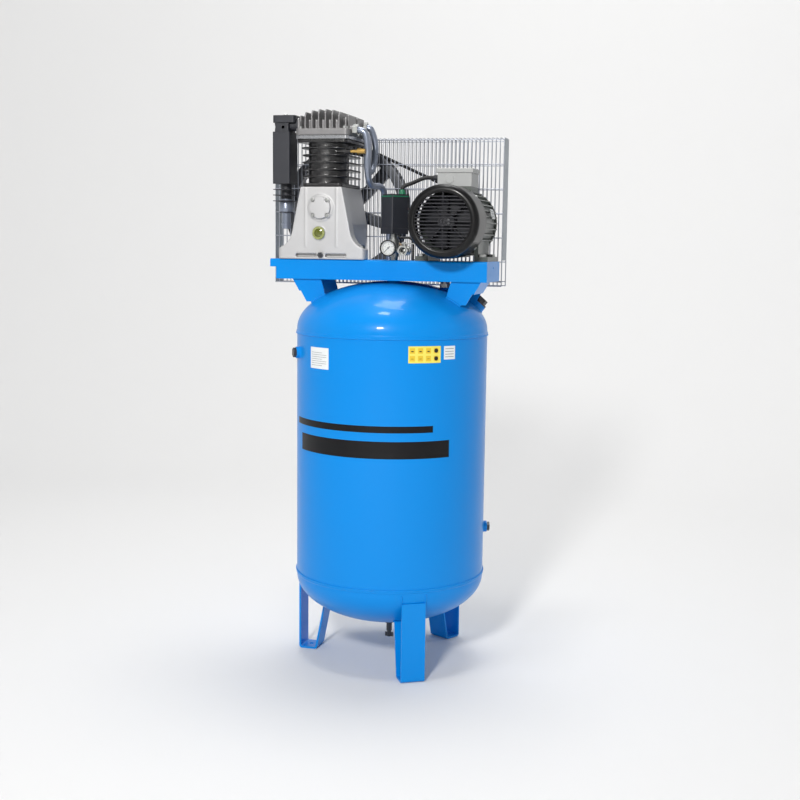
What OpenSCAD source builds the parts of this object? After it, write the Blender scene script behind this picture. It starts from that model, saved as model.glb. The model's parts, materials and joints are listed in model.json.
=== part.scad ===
// Vertical tank compressor: a two-stage belt-driven pump and its motor on a vertical receiver.
// Millimetres. The origin is on the receiver's axis at floor level, +Z up, the pump to -X,
// the motor to +X and the belt side to +Y.

/* [Receiver] */
// Outside diameter of the receiver
tank_d = 600; // [590:1:605]
// Plate thickness of the receiver
tank_wall = 4; // [3:0.5:5]
// Height of the lower seam above the floor
seam_low = 290; // [286:1:300]
// Length of the rolled shell between its seams
shell_len = 760; // [740:1:780]
// Width of a leg strip
leg_w = 75; // [65:1:85]
// Thickness of a leg strip
leg_t = 6; // [5:0.5:8]
// Diameter of the floor anchor hole in a foot
anchor_d = 14; // [12:1:16]

/* [Platform] */
// Left end of the deck's folded part
deck_x0 = -353; // [-360:1:-350]
// Right end of the deck
deck_x1 = 320; // [318:1:330]
// Height of the folded deck
deck_h = 62; // [58:1:64]
// Sheet thickness of the deck
sheet = 4; // [3:0.5:5]

/* [Pump] */
// Distance from the receiver's axis to the pump's middle
pump_off = 204; // [202:1:206]
// Bore of the first-stage cylinder
bore_low = 105; // [95:1:105]
// Bore of the second-stage cylinder
bore_high = 55; // [50:1:56]
// Stroke of both pistons
stroke = 70; // [66:1:70]
// Centre distance of a connecting rod
rod_len = 140; // [138:1:140]

/* [Drive] */
// Outside diameter of the flywheel
wheel_d = 422; // [410:1:424]
// Outside diameter of the motor pulley
pulley_d = 165; // [150:1:170]
// Distance from the receiver's axis to the motor's axis
motor_off = 204; // [202:1:206]
// Height of the motor's axis above the deck
shaft_h = 117; // [116:1:120]
// Outside diameter of the fan cowl
cowl_d = 218; // [214:1:220]

/* [Guard] */
// Number of gaps between the upright guard wires
guard_columns = 58; // [48:1:66]
// Thickness of a guard wire
wire_d = 3; // [2.5:0.5:4]
// Width of the guard from front mesh to rear mesh
guard_depth = 75; // [72:1:90]

/* [Hidden] */
$fn = 64;
blue = [0.02, 0.5, 0.88];
silver = [0.78, 0.79, 0.81];
dark = [0.16, 0.17, 0.19];
black = [0.05, 0.05, 0.06];
steel = [0.6, 0.62, 0.66];
brass_tone = [0.76, 0.62, 0.32];
light_grey = [0.62, 0.63, 0.64];
grey_green = [0.32, 0.35, 0.33];
rubber_tone = [0.08, 0.08, 0.09];

tank_r = tank_d / 2;
seam_high = seam_low + shell_len;
head_flange = 12;
head_rise = 150;
apex_low = seam_low - head_flange - head_rise;
apex_high = seam_high + head_flange + head_rise;
socket_r = 18;
thread_r = 12;
// Side sockets: azimuth and height
side_sockets = [[-147, 991], [17, 425]];
// Sockets in the top head: the riser's and the check valve's
riser_at = [15, -50];
check_at = [165, 20];
check_z = apex_high - 18;
port_az = 18;
port_r = 262;
port_tilt = 41.8;
port_bore = 19;

leg_out = 298;
foot_len = 61;
anchor_r = leg_out - foot_len / 2;
leg_azimuths = [180, -60, 60];

deck_top = apex_high + 65;
deck_half = 99;
deck_under = deck_top - sheet;
flange_bottom = deck_top - deck_h;
tab_len = 20;
tab_h = 25;

pump_x = -pump_off;
crank_z = deck_top + 157;
pump_front = -105;
case_top = deck_top + 221;
base_h = 34;
low_y = -36;
high_y = 56;
throw = stroke / 2;
pin_r = 14;
pin_half = 14.3;
wrist_r = 8;
fit = 0.05;
block_z0 = case_top + 0.6;
block_z1 = deck_top + 365;
plate_z0 = block_z1 + 1;
plate_z1 = plate_z0 + 10;
head_z0 = plate_z1 + 1;
head_half = 86;
head_y0 = -100;
head_y1 = 110;
fin_pitch = 21.7;
bolt_xy = [for (x = [-72, 72], y = [-86, 5, 97]) [pump_x + x, y]];
rear_wall = 95;
case_rear = 104;
cover_rear = 118;

belt_y = 168;
belt_gap = 15;
belt_w = 13;
belt_h = 9;
wheel_r = wheel_d / 2;
pulley_r = pulley_d / 2;
wheel_w = 40;
motor_x = motor_off;
motor_z = deck_top + shaft_h;
centre_gap = norm([motor_x - pump_x, motor_z - crank_z]);
centre_slope = atan2(motor_z - crank_z, motor_x - pump_x);
belt_lean = acos((wheel_r - pulley_r) / centre_gap);
frame_y0 = -80;
frame_y1 = 105;
shaft_r = 14;
foot_x = 95;
foot_y = 70;
cowl_r = cowl_d / 2;
cowl_front = -203;

guard_y0 = 142;
guard_y1 = guard_y0 + guard_depth - wire_d;
guard_x0 = -448;
guard_x1 = 320;
guard_z0 = deck_top - 81;
guard_z1 = deck_top + 387;

switch_at = [15, -42];
switch_turn = 40;
switch_w = 61;
switch_z0 = deck_top + 80;
gland_r = 8;
gland_at = 16;
cord_r = 6.6;
cable_r = 6;
cable_y = -10;
cable_z = 1530;
block_low = deck_top + 11;
gauge_x = 12;
gauge_y = -92;
gauge_z = deck_top + 37;
gauge_r = 25;
valve_z = deck_top + 30;
valve_at = [57, -76];
outlet_r = 10.5;

filter_x0 = pump_x - 174;
filter_x1 = pump_x - 116;
filter_y0 = -65;
filter_y1 = 10;
filter_z0 = deck_top + 232;
filter_z1 = deck_top + 387;
stub_at = [-345, -28];
stub_z = deck_top + 178;
intake_z = deck_top + 411;
cooler_z = deck_top + 394;
cooler_y = 36;
delivery_y = -55;
return_y = 84;
return_z = deck_top + 414;
// The intercooler's safety valve: Y and Z
relief = [-74, deck_top + 329];

// Routes of the tubes and the cable, end to end
cooler_route = [
    [-120.8, 84, 1691], [-115, 84, 1691], [-109, 84.3, 1689.6], [-101, 86, 1684], [-93, 91, 1660],
    [-88, 92, 1629],
    [-89, 88, 1591], [-91, 80, 1570], [-93, 66, 1555], [-96, 48, 1550], [-96, 38, 1563],
    [-95, 34, 1590], [-95, 34, 1645], [-99, 35, 1660],
    [-105.5, 36, 1669], [-110.5, 36, 1671], [-114.6, 36, 1671]
];
delivery_route = [
    [-115, -55, 1671], [-94, -55, 1671], [-79, -54, 1662], [-73, -53, 1638], [-71, -52, 1611],
    [-72, -52, 1581], [-72, -48, 1553], [-72, -36, 1525], [-71, -18, 1510], [-66, 5, 1505],
    [-57, 28, 1506], [-50, 46, 1498], [-47, 57, 1480], [-47, 62, 1455], [-42, 63, 1430],
    [-36, 63, 1405], [-32, 62, 1380], [-31, 60, 1330], [-31, 60, 1290], [-28, 59, 1262],
    [-14, 57, 1246], [20, 50, 1238], [80, 38, 1233], [120, 26, 1229], [144, 20, 1228]
];
unloader_route = [
    [34, -60, 1356.5], [34, -60, 1351], [38, -60, 1347], [50, -60, 1346], [66, -60, 1346],
    [76, -60, 1340], [80, -60, 1326], [80, -60, 1300], [80, -60, 1262], [84, -56, 1242],
    [98, -44, 1228], [118, -20, 1219], [129, -3, 1216.5], [135, 9, 1215.3], [139, 14, 1215],
    [143.4, 14, 1215]
];
cable_route = [
    [134, -10, 1530], [121, -10, 1530], [108, -10, 1530], [92, -14, 1526], [76, -22, 1518],
    [64, -29, 1512], [54, -34, 1508], [45, -38, 1504], [39.5, -39.8, 1498.5],
    [37.5, -40.3, 1492], [37.5, -40.3, 1482]
];

// ---------- shared functions and shapes ----------

function unit(v) = v / norm(v);

// Points of an arc about a centre
function arc(c, r, a0, a1, n) =
    [for (i = [0:n]) c + r * [cos(a0 + (a1 - a0) * i / n), sin(a0 + (a1 - a0) * i / n)]];

// Points of a quarter ellipse, from its rim to the axis
function quarter(a, b, lift, n) =
    [for (i = [0:n]) [i == n ? 0 : a * cos(90 * i / n), lift + b * sin(90 * i / n)]];

function reverse(p) = [for (i = [len(p) - 1:-1:0]) p[i]];

function mirror_x(p) = [for (q = reverse(p)) [-q.x, q.y]];

// One bend of a folded strip: the corner b between a and c becomes an arc
function bend(a, b, c, r, n) =
    let (
        u = unit(a - b),
        w = unit(c - b),
        half = acos(u * w) / 2,
        centre = b + unit(u + w) * r / sin(half),
        p0 = b + u * r / tan(half) - centre,
        p1 = b + w * r / tan(half) - centre,
        a0 = atan2(p0.y, p0.x),
        turn = ((atan2(p1.y, p1.x) - a0 + 540) % 360) - 180
    ) arc(centre, r, a0, a0 + turn, n);

function folded(p, r) = [
    p[0],
    for (i = [1:len(p) - 2]) each bend(p[i - 1], p[i], p[i + 1], r, 5),
    p[len(p) - 1]
];

// Outline of a strip of thickness t that follows a path
function strip(path, t) =
    let (
        last = len(path) - 1,
        side = [for (i = [0:last])
            let (d = unit(path[min(i + 1, last)] - path[max(i - 1, 0)])) [-d.y, d.x] * t / 2]
    ) concat(
        [for (i = [0:last]) path[i] + side[i]],
        [for (i = [last:-1:0]) path[i] - side[i]]
    );

function round_rect(x0, y0, x1, y1, r) = concat(
    arc([x1 - r, y1 - r], r, 0, 90, 5),
    arc([x0 + r, y1 - r], r, 90, 180, 5),
    arc([x0 + r, y0 + r], r, 180, 270, 5),
    arc([x1 - r, y0 + r], r, 270, 360, 5)
);

// Height of the top head's outside above a point of the plan
function dome_z(p) = seam_high + head_flange + head_rise * sqrt(1 - (p * p) / pow(tank_r, 2));

// A smooth curve through route points, n steps to a stretch
function smooth(p, n) = [
    for (i = [0:len(p) - 2], k = [0:n - 1])
        let (
            a = p[max(i - 1, 0)],
            b = p[i],
            c = p[i + 1],
            d = p[min(i + 2, len(p) - 1)],
            t = k / n
        ) (2 * b + (c - a) * t + (2 * a - 5 * b + 4 * c - d) * t * t
            + (3 * b - a - 3 * c + d) * pow(t, 3)) / 2,
    p[len(p) - 1]
];

function carried(dirs, i, found) = i == len(dirs) ? found
    : carried(dirs, i + 1, concat(found,
        [unit(found[i - 1] - (found[i - 1] * dirs[i]) * dirs[i])]));

// A round tube swept along a smooth curve
module tube(route, r, sides, n) {
    s = smooth(route, n);
    last = len(s) - 1;
    dirs = [for (i = [0:last]) unit(s[min(i + 1, last)] - s[max(i - 1, 0)])];
    ups = carried(dirs, 1, [unit(cross(dirs[0], [0.31, 0.27, 0.91]))]);
    points = [for (i = [0:last], k = [0:sides - 1])
        s[i] + r * (cos(360 * k / sides) * ups[i] + sin(360 * k / sides) * cross(dirs[i], ups[i]))];
    faces = concat(
        [[for (k = [sides - 1:-1:0]) k]],
        [[for (k = [0:sides - 1]) last * sides + k]],
        [for (i = [0:last - 1], k = [0:sides - 1])
            [i * sides + k, i * sides + (k + 1) % sides, (i + 1) * sides + (k + 1) % sides]],
        [for (i = [0:last - 1], k = [0:sides - 1])
            [i * sides + k, (i + 1) * sides + (k + 1) % sides, (i + 1) * sides + k]]
    );
    polyhedron(points, [for (f = faces) reverse(f)], convexity = 8);
}

// An outline drawn in X and Z, made solid from y0 to y1
module slab(y0, y1) {
    translate([0, y1, 0])
        rotate([90, 0, 0])
            linear_extrude(y1 - y0)
                children();
}

module rod_x(x0, x1, y, z, r) {
    translate([x0, y, z])
        rotate([0, 90, 0])
            cylinder(h = x1 - x0, r = r);
}

module rod_y(x, z, y0, y1, r) {
    translate([x, y0, z])
        rotate([-90, 0, 0])
            cylinder(h = y1 - y0, r = r);
}

module rod_z(x, y, z0, z1, r) {
    translate([x, y, z0])
        cylinder(h = z1 - z0, r = r);
}

module box(lo, hi) {
    translate(lo)
        cube(hi - lo);
}

// A revolved outline about a shaft that runs along Y: its points are radius and Y
module turned_y(x, z) {
    translate([x, 0, z])
        rotate([-90, 0, 0])
            rotate_extrude()
                children();
}

// A hexagon bolt head or nut lying on z
module hex_z(x, y, z0, h, across) {
    translate([x, y, z0])
        cylinder(h = h, r = across / 2 / cos(30), $fn = 6);
}

module hex_y(x, z, y0, h, across) {
    translate([x, y0, z])
        rotate([-90, 0, 0])
            cylinder(h = h, r = across / 2 / cos(30), $fn = 6);
}

// ---------- receiver ----------

module dished_head() {
    lip = 2.2;
    rotate_extrude($fn = 96)
        polygon(concat(
            [[tank_r - tank_wall, 0], [tank_r, 0], [tank_r + lip, 2], [tank_r + lip, 6]],
            quarter(tank_r, head_rise, head_flange, 18),
            reverse(quarter(tank_r - tank_wall, head_rise - tank_wall, head_flange, 18))
        ));
}

// The space inside a head's outer face, for trimming what is welded to it
module head_solid() {
    rotate_extrude($fn = 96)
        polygon(concat([[0, 0], [tank_r, 0]], quarter(tank_r, head_rise, head_flange, 18)));
}

module at_side_socket(s) {
    rotate([0, 0, s[0]])
        translate([tank_r, 0, s[1]])
            rotate([0, 90, 0])
                children();
}

module at_port() {
    rotate([0, 0, port_az])
        translate([port_r, 0, dome_z([port_r, 0])])
            rotate([0, port_tilt, 0])
                children();
}

module tank_shell() {
    color(blue)
        difference() {
            union() {
                translate([0, 0, seam_low])
                    cylinder(h = shell_len, r = tank_r, $fn = 96);
                for (s = side_sockets)
                    at_side_socket(s)
                        translate([0, 0, -3])
                            cylinder(h = 15, r = socket_r);
            }
            translate([0, 0, seam_low - 1])
                cylinder(h = shell_len + 2, r = tank_r - tank_wall, $fn = 96);
            for (s = side_sockets)
                at_side_socket(s)
                    translate([0, 0, -12])
                        cylinder(h = 40, r = thread_r);
        }
}

module tank_top_head() {
    riser_top = apex_high + 5;
    color(blue)
        difference() {
            union() {
                translate([0, 0, seam_high])
                    dished_head();
                rod_z(riser_at.x, riser_at.y, dome_z(riser_at) - 9, riser_top, socket_r);
                rod_z(check_at.x, check_at.y, dome_z(check_at) - 12, check_z, socket_r);
                at_port()
                    translate([0, 0, -10])
                        cylinder(h = 26, r = 27);
            }
            rod_z(riser_at.x, riser_at.y, apex_high - 30, riser_top + 1, thread_r);
            rod_z(check_at.x, check_at.y, check_z - 40, check_z + 1, thread_r);
            at_port()
                translate([0, 0, -20])
                    cylinder(h = 40, r = port_bore);
        }
}

module tank_bottom_head() {
    color(blue)
        difference() {
            union() {
                translate([0, 0, seam_low])
                    mirror([0, 0, 1])
                        dished_head();
                rod_z(0, 0, apex_low - 12, apex_low + 8, socket_r);
            }
            rod_z(0, 0, apex_low - 13, apex_low + 20, thread_r);
        }
}

module tank_leg() {
    mid = leg_t / 2;
    path = folded([
        [leg_out - mid, 249], [leg_out - mid, mid],
        [leg_out - foot_len + mid, mid], [205, 186]
    ], 7);
    difference() {
        slab(-leg_w / 2, leg_w / 2)
            polygon(strip(path, leg_t));
        translate([0, 0, seam_low])
            mirror([0, 0, 1])
                head_solid();
        rod_z(anchor_r, 0, -1, leg_t + 1, anchor_d / 2);
    }
}

module tank_legs() {
    color(blue)
        for (a = leg_azimuths)
            rotate([0, 0, a])
                tank_leg();
}

// Side plugs, the inspection plug and the pump's oil drain plug
module threaded_plugs() {
    color(steel) {
        for (s = side_sockets)
            at_side_socket(s) {
                translate([0, 0, -2])
                    cylinder(h = 14, r = thread_r - 0.1);
                translate([0, 0, 12])
                    cylinder(h = 9, r = 15, $fn = 6);
            }
        at_port() {
            translate([0, 0, -4])
                cylinder(h = 20, r = port_bore - 0.1);
            translate([0, 0, 16])
                cylinder(h = 5, r = 26);
            translate([0, 0, 21])
                cylinder(h = 14, r = 21, $fn = 6);
        }
        rod_y(pump_x, deck_top + 13, pump_front - 3, pump_front + 9, 6);
        hex_y(pump_x, deck_top + 13, pump_front - 9, 6, 15);
    }
}

module drain_valve_body() {
    color(brass_tone)
        difference() {
            union() {
                rod_z(0, 0, apex_low - 12, apex_low + 4, thread_r - 0.1);
                hex_z(0, 0, apex_low - 24, 12, 30);
                rod_z(0, 0, apex_low - 52, apex_low - 24, 9);
            }
            rod_z(0, 0, apex_low - 45, apex_low + 5, 4);
            rod_z(0, 0, apex_low - 53, apex_low - 45, 4.2);
        }
}

module drain_knob() {
    color(steel)
        difference() {
            union() {
                rod_z(0, 0, apex_low - 60, apex_low - 46, 4.15);
                rod_z(0, 0, apex_low - 72, apex_low - 52.5, 6.5);
                box([-13, -2, apex_low - 72], [13, 2, apex_low - 58]);
            }
            rod_z(0, 0, apex_low - 73, apex_low - 45, 2);
        }
}

// ---------- platform ----------

module deck_channel(x0, x1, bottom) {
    mid = sheet / 2;
    path = folded([
        [mid - deck_half, bottom], [mid - deck_half, deck_top - mid],
        [deck_half - mid, deck_top - mid], [deck_half - mid, bottom]
    ], 5);
    translate([x0, 0, 0])
        rotate([90, 0, 90])
            linear_extrude(x1 - x0)
                polygon(strip(path, sheet));
}

pump_bolts = [[-127, -83], [127, -83], [-75, 74], [75, 74]];
motor_bolts = [for (x = [-foot_x, foot_x], y = [-foot_y, foot_y]) [x, y]];
tie_bolts = [-300, 60, 300];

module platform_deck() {
    color(blue)
        difference() {
            union() {
                deck_channel(deck_x0, deck_x1, flange_bottom);
                deck_channel(deck_x0 - tab_len, deck_x0, deck_top - tab_h);
                box([deck_x1 - sheet, 1 - deck_half + sheet, flange_bottom],
                    [deck_x1, deck_half - sheet - 1, deck_under + 1]);
            }
            for (b = pump_bolts)
                rod_z(pump_x + b.x, b.y, deck_under - 1, deck_top + 1, 5.5);
            for (b = motor_bolts)
                rod_z(motor_x + b.x, b.y, deck_under - 1, deck_top + 1, 6.5);
            rod_z(riser_at.x, riser_at.y, deck_under - 1, deck_top + 1, 15);
            rod_z(-30, 60, deck_under - 1, deck_top + 1, 15);
            rod_z(80, -60, deck_under - 1, deck_top + 1, 7);
            for (x = tie_bolts)
                rod_y(x, deck_top - 22, deck_half - sheet - 1, deck_half + 1, 4.5);
            rod_x(deck_x1 - sheet - 1, deck_x1 + 1, 0, deck_top - 20, 4);
        }
}

// A saddle bracket: two webs trimmed to the dome, and a folded outer plate between them
module saddle() {
    web = [[208, deck_under], [296, deck_under], [296, deck_top - 60], [255, deck_top - 132],
        [190, deck_top - 132], [199, deck_top - 90], [208, deck_top - 62]];
    plate = folded([[298, deck_under], [298, deck_top - 62], [277, deck_top - 98]], 6);
    difference() {
        union() {
            for (y = [-91, 44])
                slab(y, y + 5)
                    polygon(web);
            slab(-91, 49)
                polygon(strip(plate, 5));
        }
        translate([0, 0, seam_high])
            head_solid();
        rod_z(motor_x + foot_x, -foot_y, deck_under - 16, deck_under + 1, 13.5);
    }
}

module platform_brackets() {
    color(blue) {
        saddle();
        mirror([1, 0, 0])
            saddle();
    }
}

// A bolt through the deck with its washer and nut
module deck_bolt(x, y, seat, r) {
    rod_z(x, y, deck_under - 14, seat, r);
    hex_z(x, y, seat, r * 1.3, r * 3.4);
    difference() {
        hex_z(x, y, deck_under - 10, 8, r * 3.4);
        rod_z(x, y, deck_under - 11, deck_under, r);
    }
    difference() {
        rod_z(x, y, deck_under - 2, deck_under, r * 2.1);
        rod_z(x, y, deck_under - 3, deck_under + 1, r);
    }
}

module mounting_bolts() {
    color(steel) {
        for (b = pump_bolts)
            deck_bolt(pump_x + b.x, b.y, deck_top + (b.y < 0 ? base_h : 14), 5);
        for (b = motor_bolts)
            deck_bolt(motor_x + b.x, b.y, deck_top + 14, 6);
        for (x = tie_bolts) {
            rod_y(x, deck_top - 22, deck_half - sheet - 8, deck_half + 3, 4);
            hex_y(x, deck_top - 22, deck_half + 3, 5, 13);
        }
    }
}

// ---------- pump: fixed pieces ----------

// Right edge of the bell-shaped front plate, from its top down to the base
function bell_side() =
    let (
        a = [91, case_top - 119],
        b = [97, deck_top + 46],
        c = [138, deck_top + base_h],
        n = 8
    ) concat(
        [[66.5, case_top]],
        [for (i = [0:n]) let (t = i / n) (1 - t) * (1 - t) * a + 2 * t * (1 - t) * b + t * t * c],
        [[141, deck_top + base_h - 2], [141, deck_top]]
    );

module bell_plate() {
    side = bell_side();
    intersection() {
        translate([pump_x, 0, 0])
            slab(pump_front, -62)
                polygon(concat(side, mirror_x(side)));
        translate([0, 0, deck_top - 1])
            linear_extrude(230)
                polygon(round_rect(pump_x - 141, pump_front, pump_x + 141, -20, 12));
    }
}

module crankcase() {
    body = [[66, case_top], [87, case_top - 112], [84, deck_top + 40], [84, deck_top]];
    color(silver)
        difference() {
            union() {
                bell_plate();
                translate([pump_x, 0, 0])
                    slab(-64, case_rear)
                        polygon(concat(body, mirror_x(body)));
                for (x = [-50, 50])
                    box([pump_x + x - 1.5, pump_front - 1.5, deck_top + base_h + 4],
                        [pump_x + x + 1.5, pump_front + 1, case_top - 4]);
                rod_y(pump_x, crank_z, pump_front - 3, pump_front + 1, 40);
                rod_y(pump_x - 5, deck_top + 80, pump_front - 4, pump_front + 1, 19);
            }
            // space for the crank, the sump below it and the openings for both cylinders
            rod_y(pump_x, crank_z, -80, rear_wall, 61.5);
            box([pump_x - 62, -80, deck_top + 12], [pump_x + 62, rear_wall, crank_z]);
            rod_z(pump_x, low_y, crank_z, case_top + 1, 55);
            rod_z(pump_x, high_y, crank_z, case_top + 1, 31);
            // bearing seats
            rod_y(pump_x, crank_z, pump_front - 4, -79, 26);
            rod_y(pump_x, crank_z, rear_wall - 1, case_rear + 1, 50);
            // sight-glass port, drain port and the slot along the base
            rod_y(pump_x - 5, deck_top + 80, pump_front - 5, -79, 10);
            rod_y(pump_x, deck_top + 13, pump_front - 1, -79, 6.1);
            for (x = [-48, 48])
                box([pump_x + x - 34, pump_front - 1, deck_top + 6],
                    [pump_x + x + 34, pump_front + 18, deck_top + 17]);
            // lightening notch that leaves the rear of the base narrower
            box([pump_x - 88, -55, deck_top + 14], [pump_x - 74, case_rear + 1, deck_top + 34]);
            box([pump_x + 74, -55, deck_top + 14], [pump_x + 88, case_rear + 1, deck_top + 34]);
            // bolt holes, with room for the bolt heads above their seats
            for (b = pump_bolts) {
                rod_z(pump_x + b.x, b.y, deck_top - 1, deck_top + base_h + 1, 5.3);
                if (b.y < 0)
                    rod_z(pump_x + b.x, b.y, deck_top + base_h, deck_top + base_h + 40, 10.5);
                else {
                    rod_z(pump_x + b.x, b.y, deck_top + 14, deck_top + 44, 11);
                    box([pump_x + (b.x < 0 ? -90 : b.x), b.y - 11, deck_top + 14],
                        [pump_x + (b.x < 0 ? b.x : 90), b.y + 11, deck_top + 44]);
                }
            }
        }
}

// The front cap over the crank's nose, and the rear carrier that the flywheel shaft passes
module bearing_covers() {
    color(silver) {
        difference() {
            union() {
                rod_y(pump_x, crank_z, pump_front - 13, pump_front - 3, 33);
                for (a = [45:90:315])
                    rod_y(pump_x + 33 * cos(a), crank_z + 33 * sin(a), pump_front - 9,
                        pump_front - 3, 8);
            }
            rod_y(pump_x, crank_z, pump_front - 9, pump_front - 2, 20);
            for (a = [45:90:315])
                rod_y(pump_x + 33 * cos(a), crank_z + 33 * sin(a), pump_front - 14,
                    pump_front - 9, 6.6);
        }
        difference() {
            union() {
                rod_y(pump_x, crank_z, case_rear, 112, 62);
                rod_y(pump_x, crank_z, rear_wall + 1, case_rear, 49.8);
                rod_y(pump_x, crank_z, 112, cover_rear, 46);
            }
            rod_y(pump_x, crank_z, rear_wall, 115, 40);
            rod_y(pump_x, crank_z, 114, cover_rear + 1, 20.6);
        }
    }
}

module main_bearings() {
    color(steel) {
        difference() {
            rod_y(pump_x, crank_z, -98, -83, 25.95);
            rod_y(pump_x, crank_z, -99, -82, 12.5 + fit);
        }
        difference() {
            rod_y(pump_x, crank_z, 97, 115, 39.95);
            rod_y(pump_x, crank_z, 96, 116, 20 + fit);
        }
    }
}

module block_outline(half, y0, y1, r) {
    polygon(round_rect(pump_x - half, y0, pump_x + half, y1, r));
}

module cylinder_block() {
    color(black)
        difference() {
            union() {
                translate([0, 0, block_z0])
                    linear_extrude(11)
                        block_outline(64, -97, 103, 12);
                rod_z(pump_x, low_y, block_z0, block_z1, 60);
                rod_z(pump_x, high_y, block_z0, block_z1, 38);
                box([pump_x - 20, low_y, block_z0], [pump_x + 20, high_y, block_z1]);
                for (k = [1:5])
                    translate([0, 0, block_z0 + 7 + k * fin_pitch])
                        linear_extrude(5)
                            block_outline(k < 5 ? 74 : 78, -97, 104, 40);
                translate([0, 0, block_z1 - 10])
                    linear_extrude(10)
                        block_outline(82, -98, 106, 14);
                rod_x(pump_x + 30, pump_x + 85.8, relief.x, relief.y, 7.5);
            }
            rod_z(pump_x, low_y, block_z0 - 1, block_z1 + 1, bore_low / 2);
            rod_z(pump_x, high_y, block_z0 - 1, block_z1 + 1, bore_high / 2);
            for (b = bolt_xy)
                rod_z(b.x, b.y, block_z1 - 11, block_z1 + 1, 5.3);
        }
}

module gasket(z, t, half, y0, y1, gap) {
    difference() {
        translate([0, 0, z])
            linear_extrude(t)
                block_outline(half, y0, y1, 12);
        rod_z(pump_x, low_y, z - 1, z + t + 1, bore_low / 2 + gap);
        rod_z(pump_x, high_y, z - 1, z + t + 1, bore_high / 2 + gap);
        if (half > 70)
            for (b = bolt_xy)
                rod_z(b.x, b.y, z - 1, z + t + 1, 5.3);
    }
}

module pump_gaskets() {
    color(rubber_tone) {
        gasket(case_top, 0.6, 64, -97, 103, 1);
        gasket(block_z1, 1, 82, -98, 106, 1);
        gasket(plate_z1, 1, 84, -98, 108, 0);
    }
}

// The plate between block and head, with its suction and discharge reeds
module valve_plate() {
    ports = [[-22, low_y], [22, low_y], [-12, high_y], [12, high_y]];
    color(steel) {
        difference() {
            translate([0, 0, plate_z0])
                linear_extrude(plate_z1 - plate_z0)
                    block_outline(head_half, head_y0, head_y1, 12);
            for (p = ports)
                rod_z(pump_x + p.x, p.y, plate_z0 - 1, plate_z1 + 1, 6);
            for (b = bolt_xy)
                rod_z(b.x, b.y, plate_z0 - 1, plate_z1 + 1, 5.3);
        }
        for (p = ports)
            box([pump_x + p.x - 8, p.y - 14, plate_z1 + 0.02],
                [pump_x + p.x + 8, p.y + 14, plate_z1 + 0.6]);
    }
}

// Height of a head fin at a distance from the middle
function fin_top(x) = deck_top + 456 - 21 * pow(x / 84, 2);

module cylinder_head() {
    low = head_z0 + 20;
    roof = deck_top + 425;
    color(silver)
        difference() {
            union() {
                translate([0, 0, head_z0])
                    linear_extrude(20)
                        block_outline(head_half, head_y0, head_y1, 12);
                translate([0, 0, low - 1])
                    linear_extrude(roof - low + 1)
                        block_outline(60, head_y0 + 28, head_y1 - 16, 14);
                for (i = [0:7])
                    translate([pump_x + (i - 3.5) * fin_pitch, 0, 0])
                        rotate([90, 0, 90])
                            linear_extrude(5, center = true)
                                polygon([
                                    [head_y0 + 2, low - 1], [head_y1 - 2, low - 1],
                                    [head_y1 - 2, fin_top((i - 3.5) * fin_pitch) - 14],
                                    [head_y1 - 14, fin_top((i - 3.5) * fin_pitch)],
                                    [head_y0 + 12, fin_top((i - 3.5) * fin_pitch)],
                                    [head_y0 + 2, fin_top((i - 3.5) * fin_pitch) - 12]
                                ]);
                rod_x(pump_x - 92, pump_x - 50, low_y, intake_z, 19);
                for (y = [delivery_y, cooler_y])
                    rod_x(pump_x + 50, pump_x + 88, y, cooler_z, 14.5);
                rod_x(pump_x + 50, pump_x + 82, return_y, return_z, 15);
            }
            // suction and discharge chambers of the two stages
            box([pump_x - 48, -64, head_z0 - 1], [pump_x - 4, 18, roof - 6]);
            box([pump_x + 4, -64, head_z0 - 1], [pump_x + 48, 18, roof - 6]);
            box([pump_x - 48, 30, head_z0 - 1], [pump_x - 4, 86, roof - 6]);
            box([pump_x + 4, 30, head_z0 - 1], [pump_x + 48, 86, roof - 6]);
            rod_x(pump_x - 93, pump_x - 40, low_y, intake_z, 11);
            for (y = [delivery_y, cooler_y])
                rod_x(pump_x + 40, pump_x + 89, y, cooler_z, 8);
            rod_x(pump_x + 40, pump_x + 83, return_y, return_z, 8);
            for (b = bolt_xy) {
                rod_z(b.x, b.y, head_z0 - 1, head_z0 + 21, 5.3);
                rod_z(b.x, b.y, head_z0 + 19, deck_top + 470, 10.5);
            }
        }
}

module head_bolts() {
    color(steel) {
        for (b = bolt_xy) {
            rod_z(b.x, b.y, block_z1 - 9, head_z0 + 19, 5);
            hex_z(b.x, b.y, head_z0 + 19, 8, 17);
        }
        for (a = [45:90:315])
            hex_y(pump_x + 33 * cos(a), crank_z + 33 * sin(a), pump_front - 14, 5, 10);
    }
}

module sight_glass_bezel() {
    color([0.62, 0.66, 0.3])
        turned_y(pump_x - 5, deck_top + 80)
            polygon([[13, pump_front - 10], [18, pump_front - 10], [20, pump_front - 8],
                [20, pump_front - 4], [9.9, pump_front - 4], [9.9, pump_front + 8],
                [8, pump_front + 8], [8, pump_front - 5.5], [13, pump_front - 5.5]]);
}

module sight_glass_lens() {
    color([0.2, 0.24, 0.1, 0.8])
        turned_y(pump_x - 5, deck_top + 80)
            polygon([[0, pump_front - 9.5], [8, pump_front - 9], [13, pump_front - 7.5],
                [13, pump_front - 5.5], [0, pump_front - 5.5]]);
}

// ---------- pump: moving pieces ----------

module crank_web(y0, y1, pin_side) {
    rod_y(pump_x, crank_z + pin_side * throw, y0, y1, 22);
    box([pump_x - 22, y0, crank_z - throw], [pump_x + 22, y1, crank_z + throw]);
    intersection() {
        rod_y(pump_x, crank_z, y0, y1, 56);
        translate([pump_x - 48, y0, crank_z - (pin_side > 0 ? 60 : 0)])
            cube([96, y1 - y0, 60]);
    }
}

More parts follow.
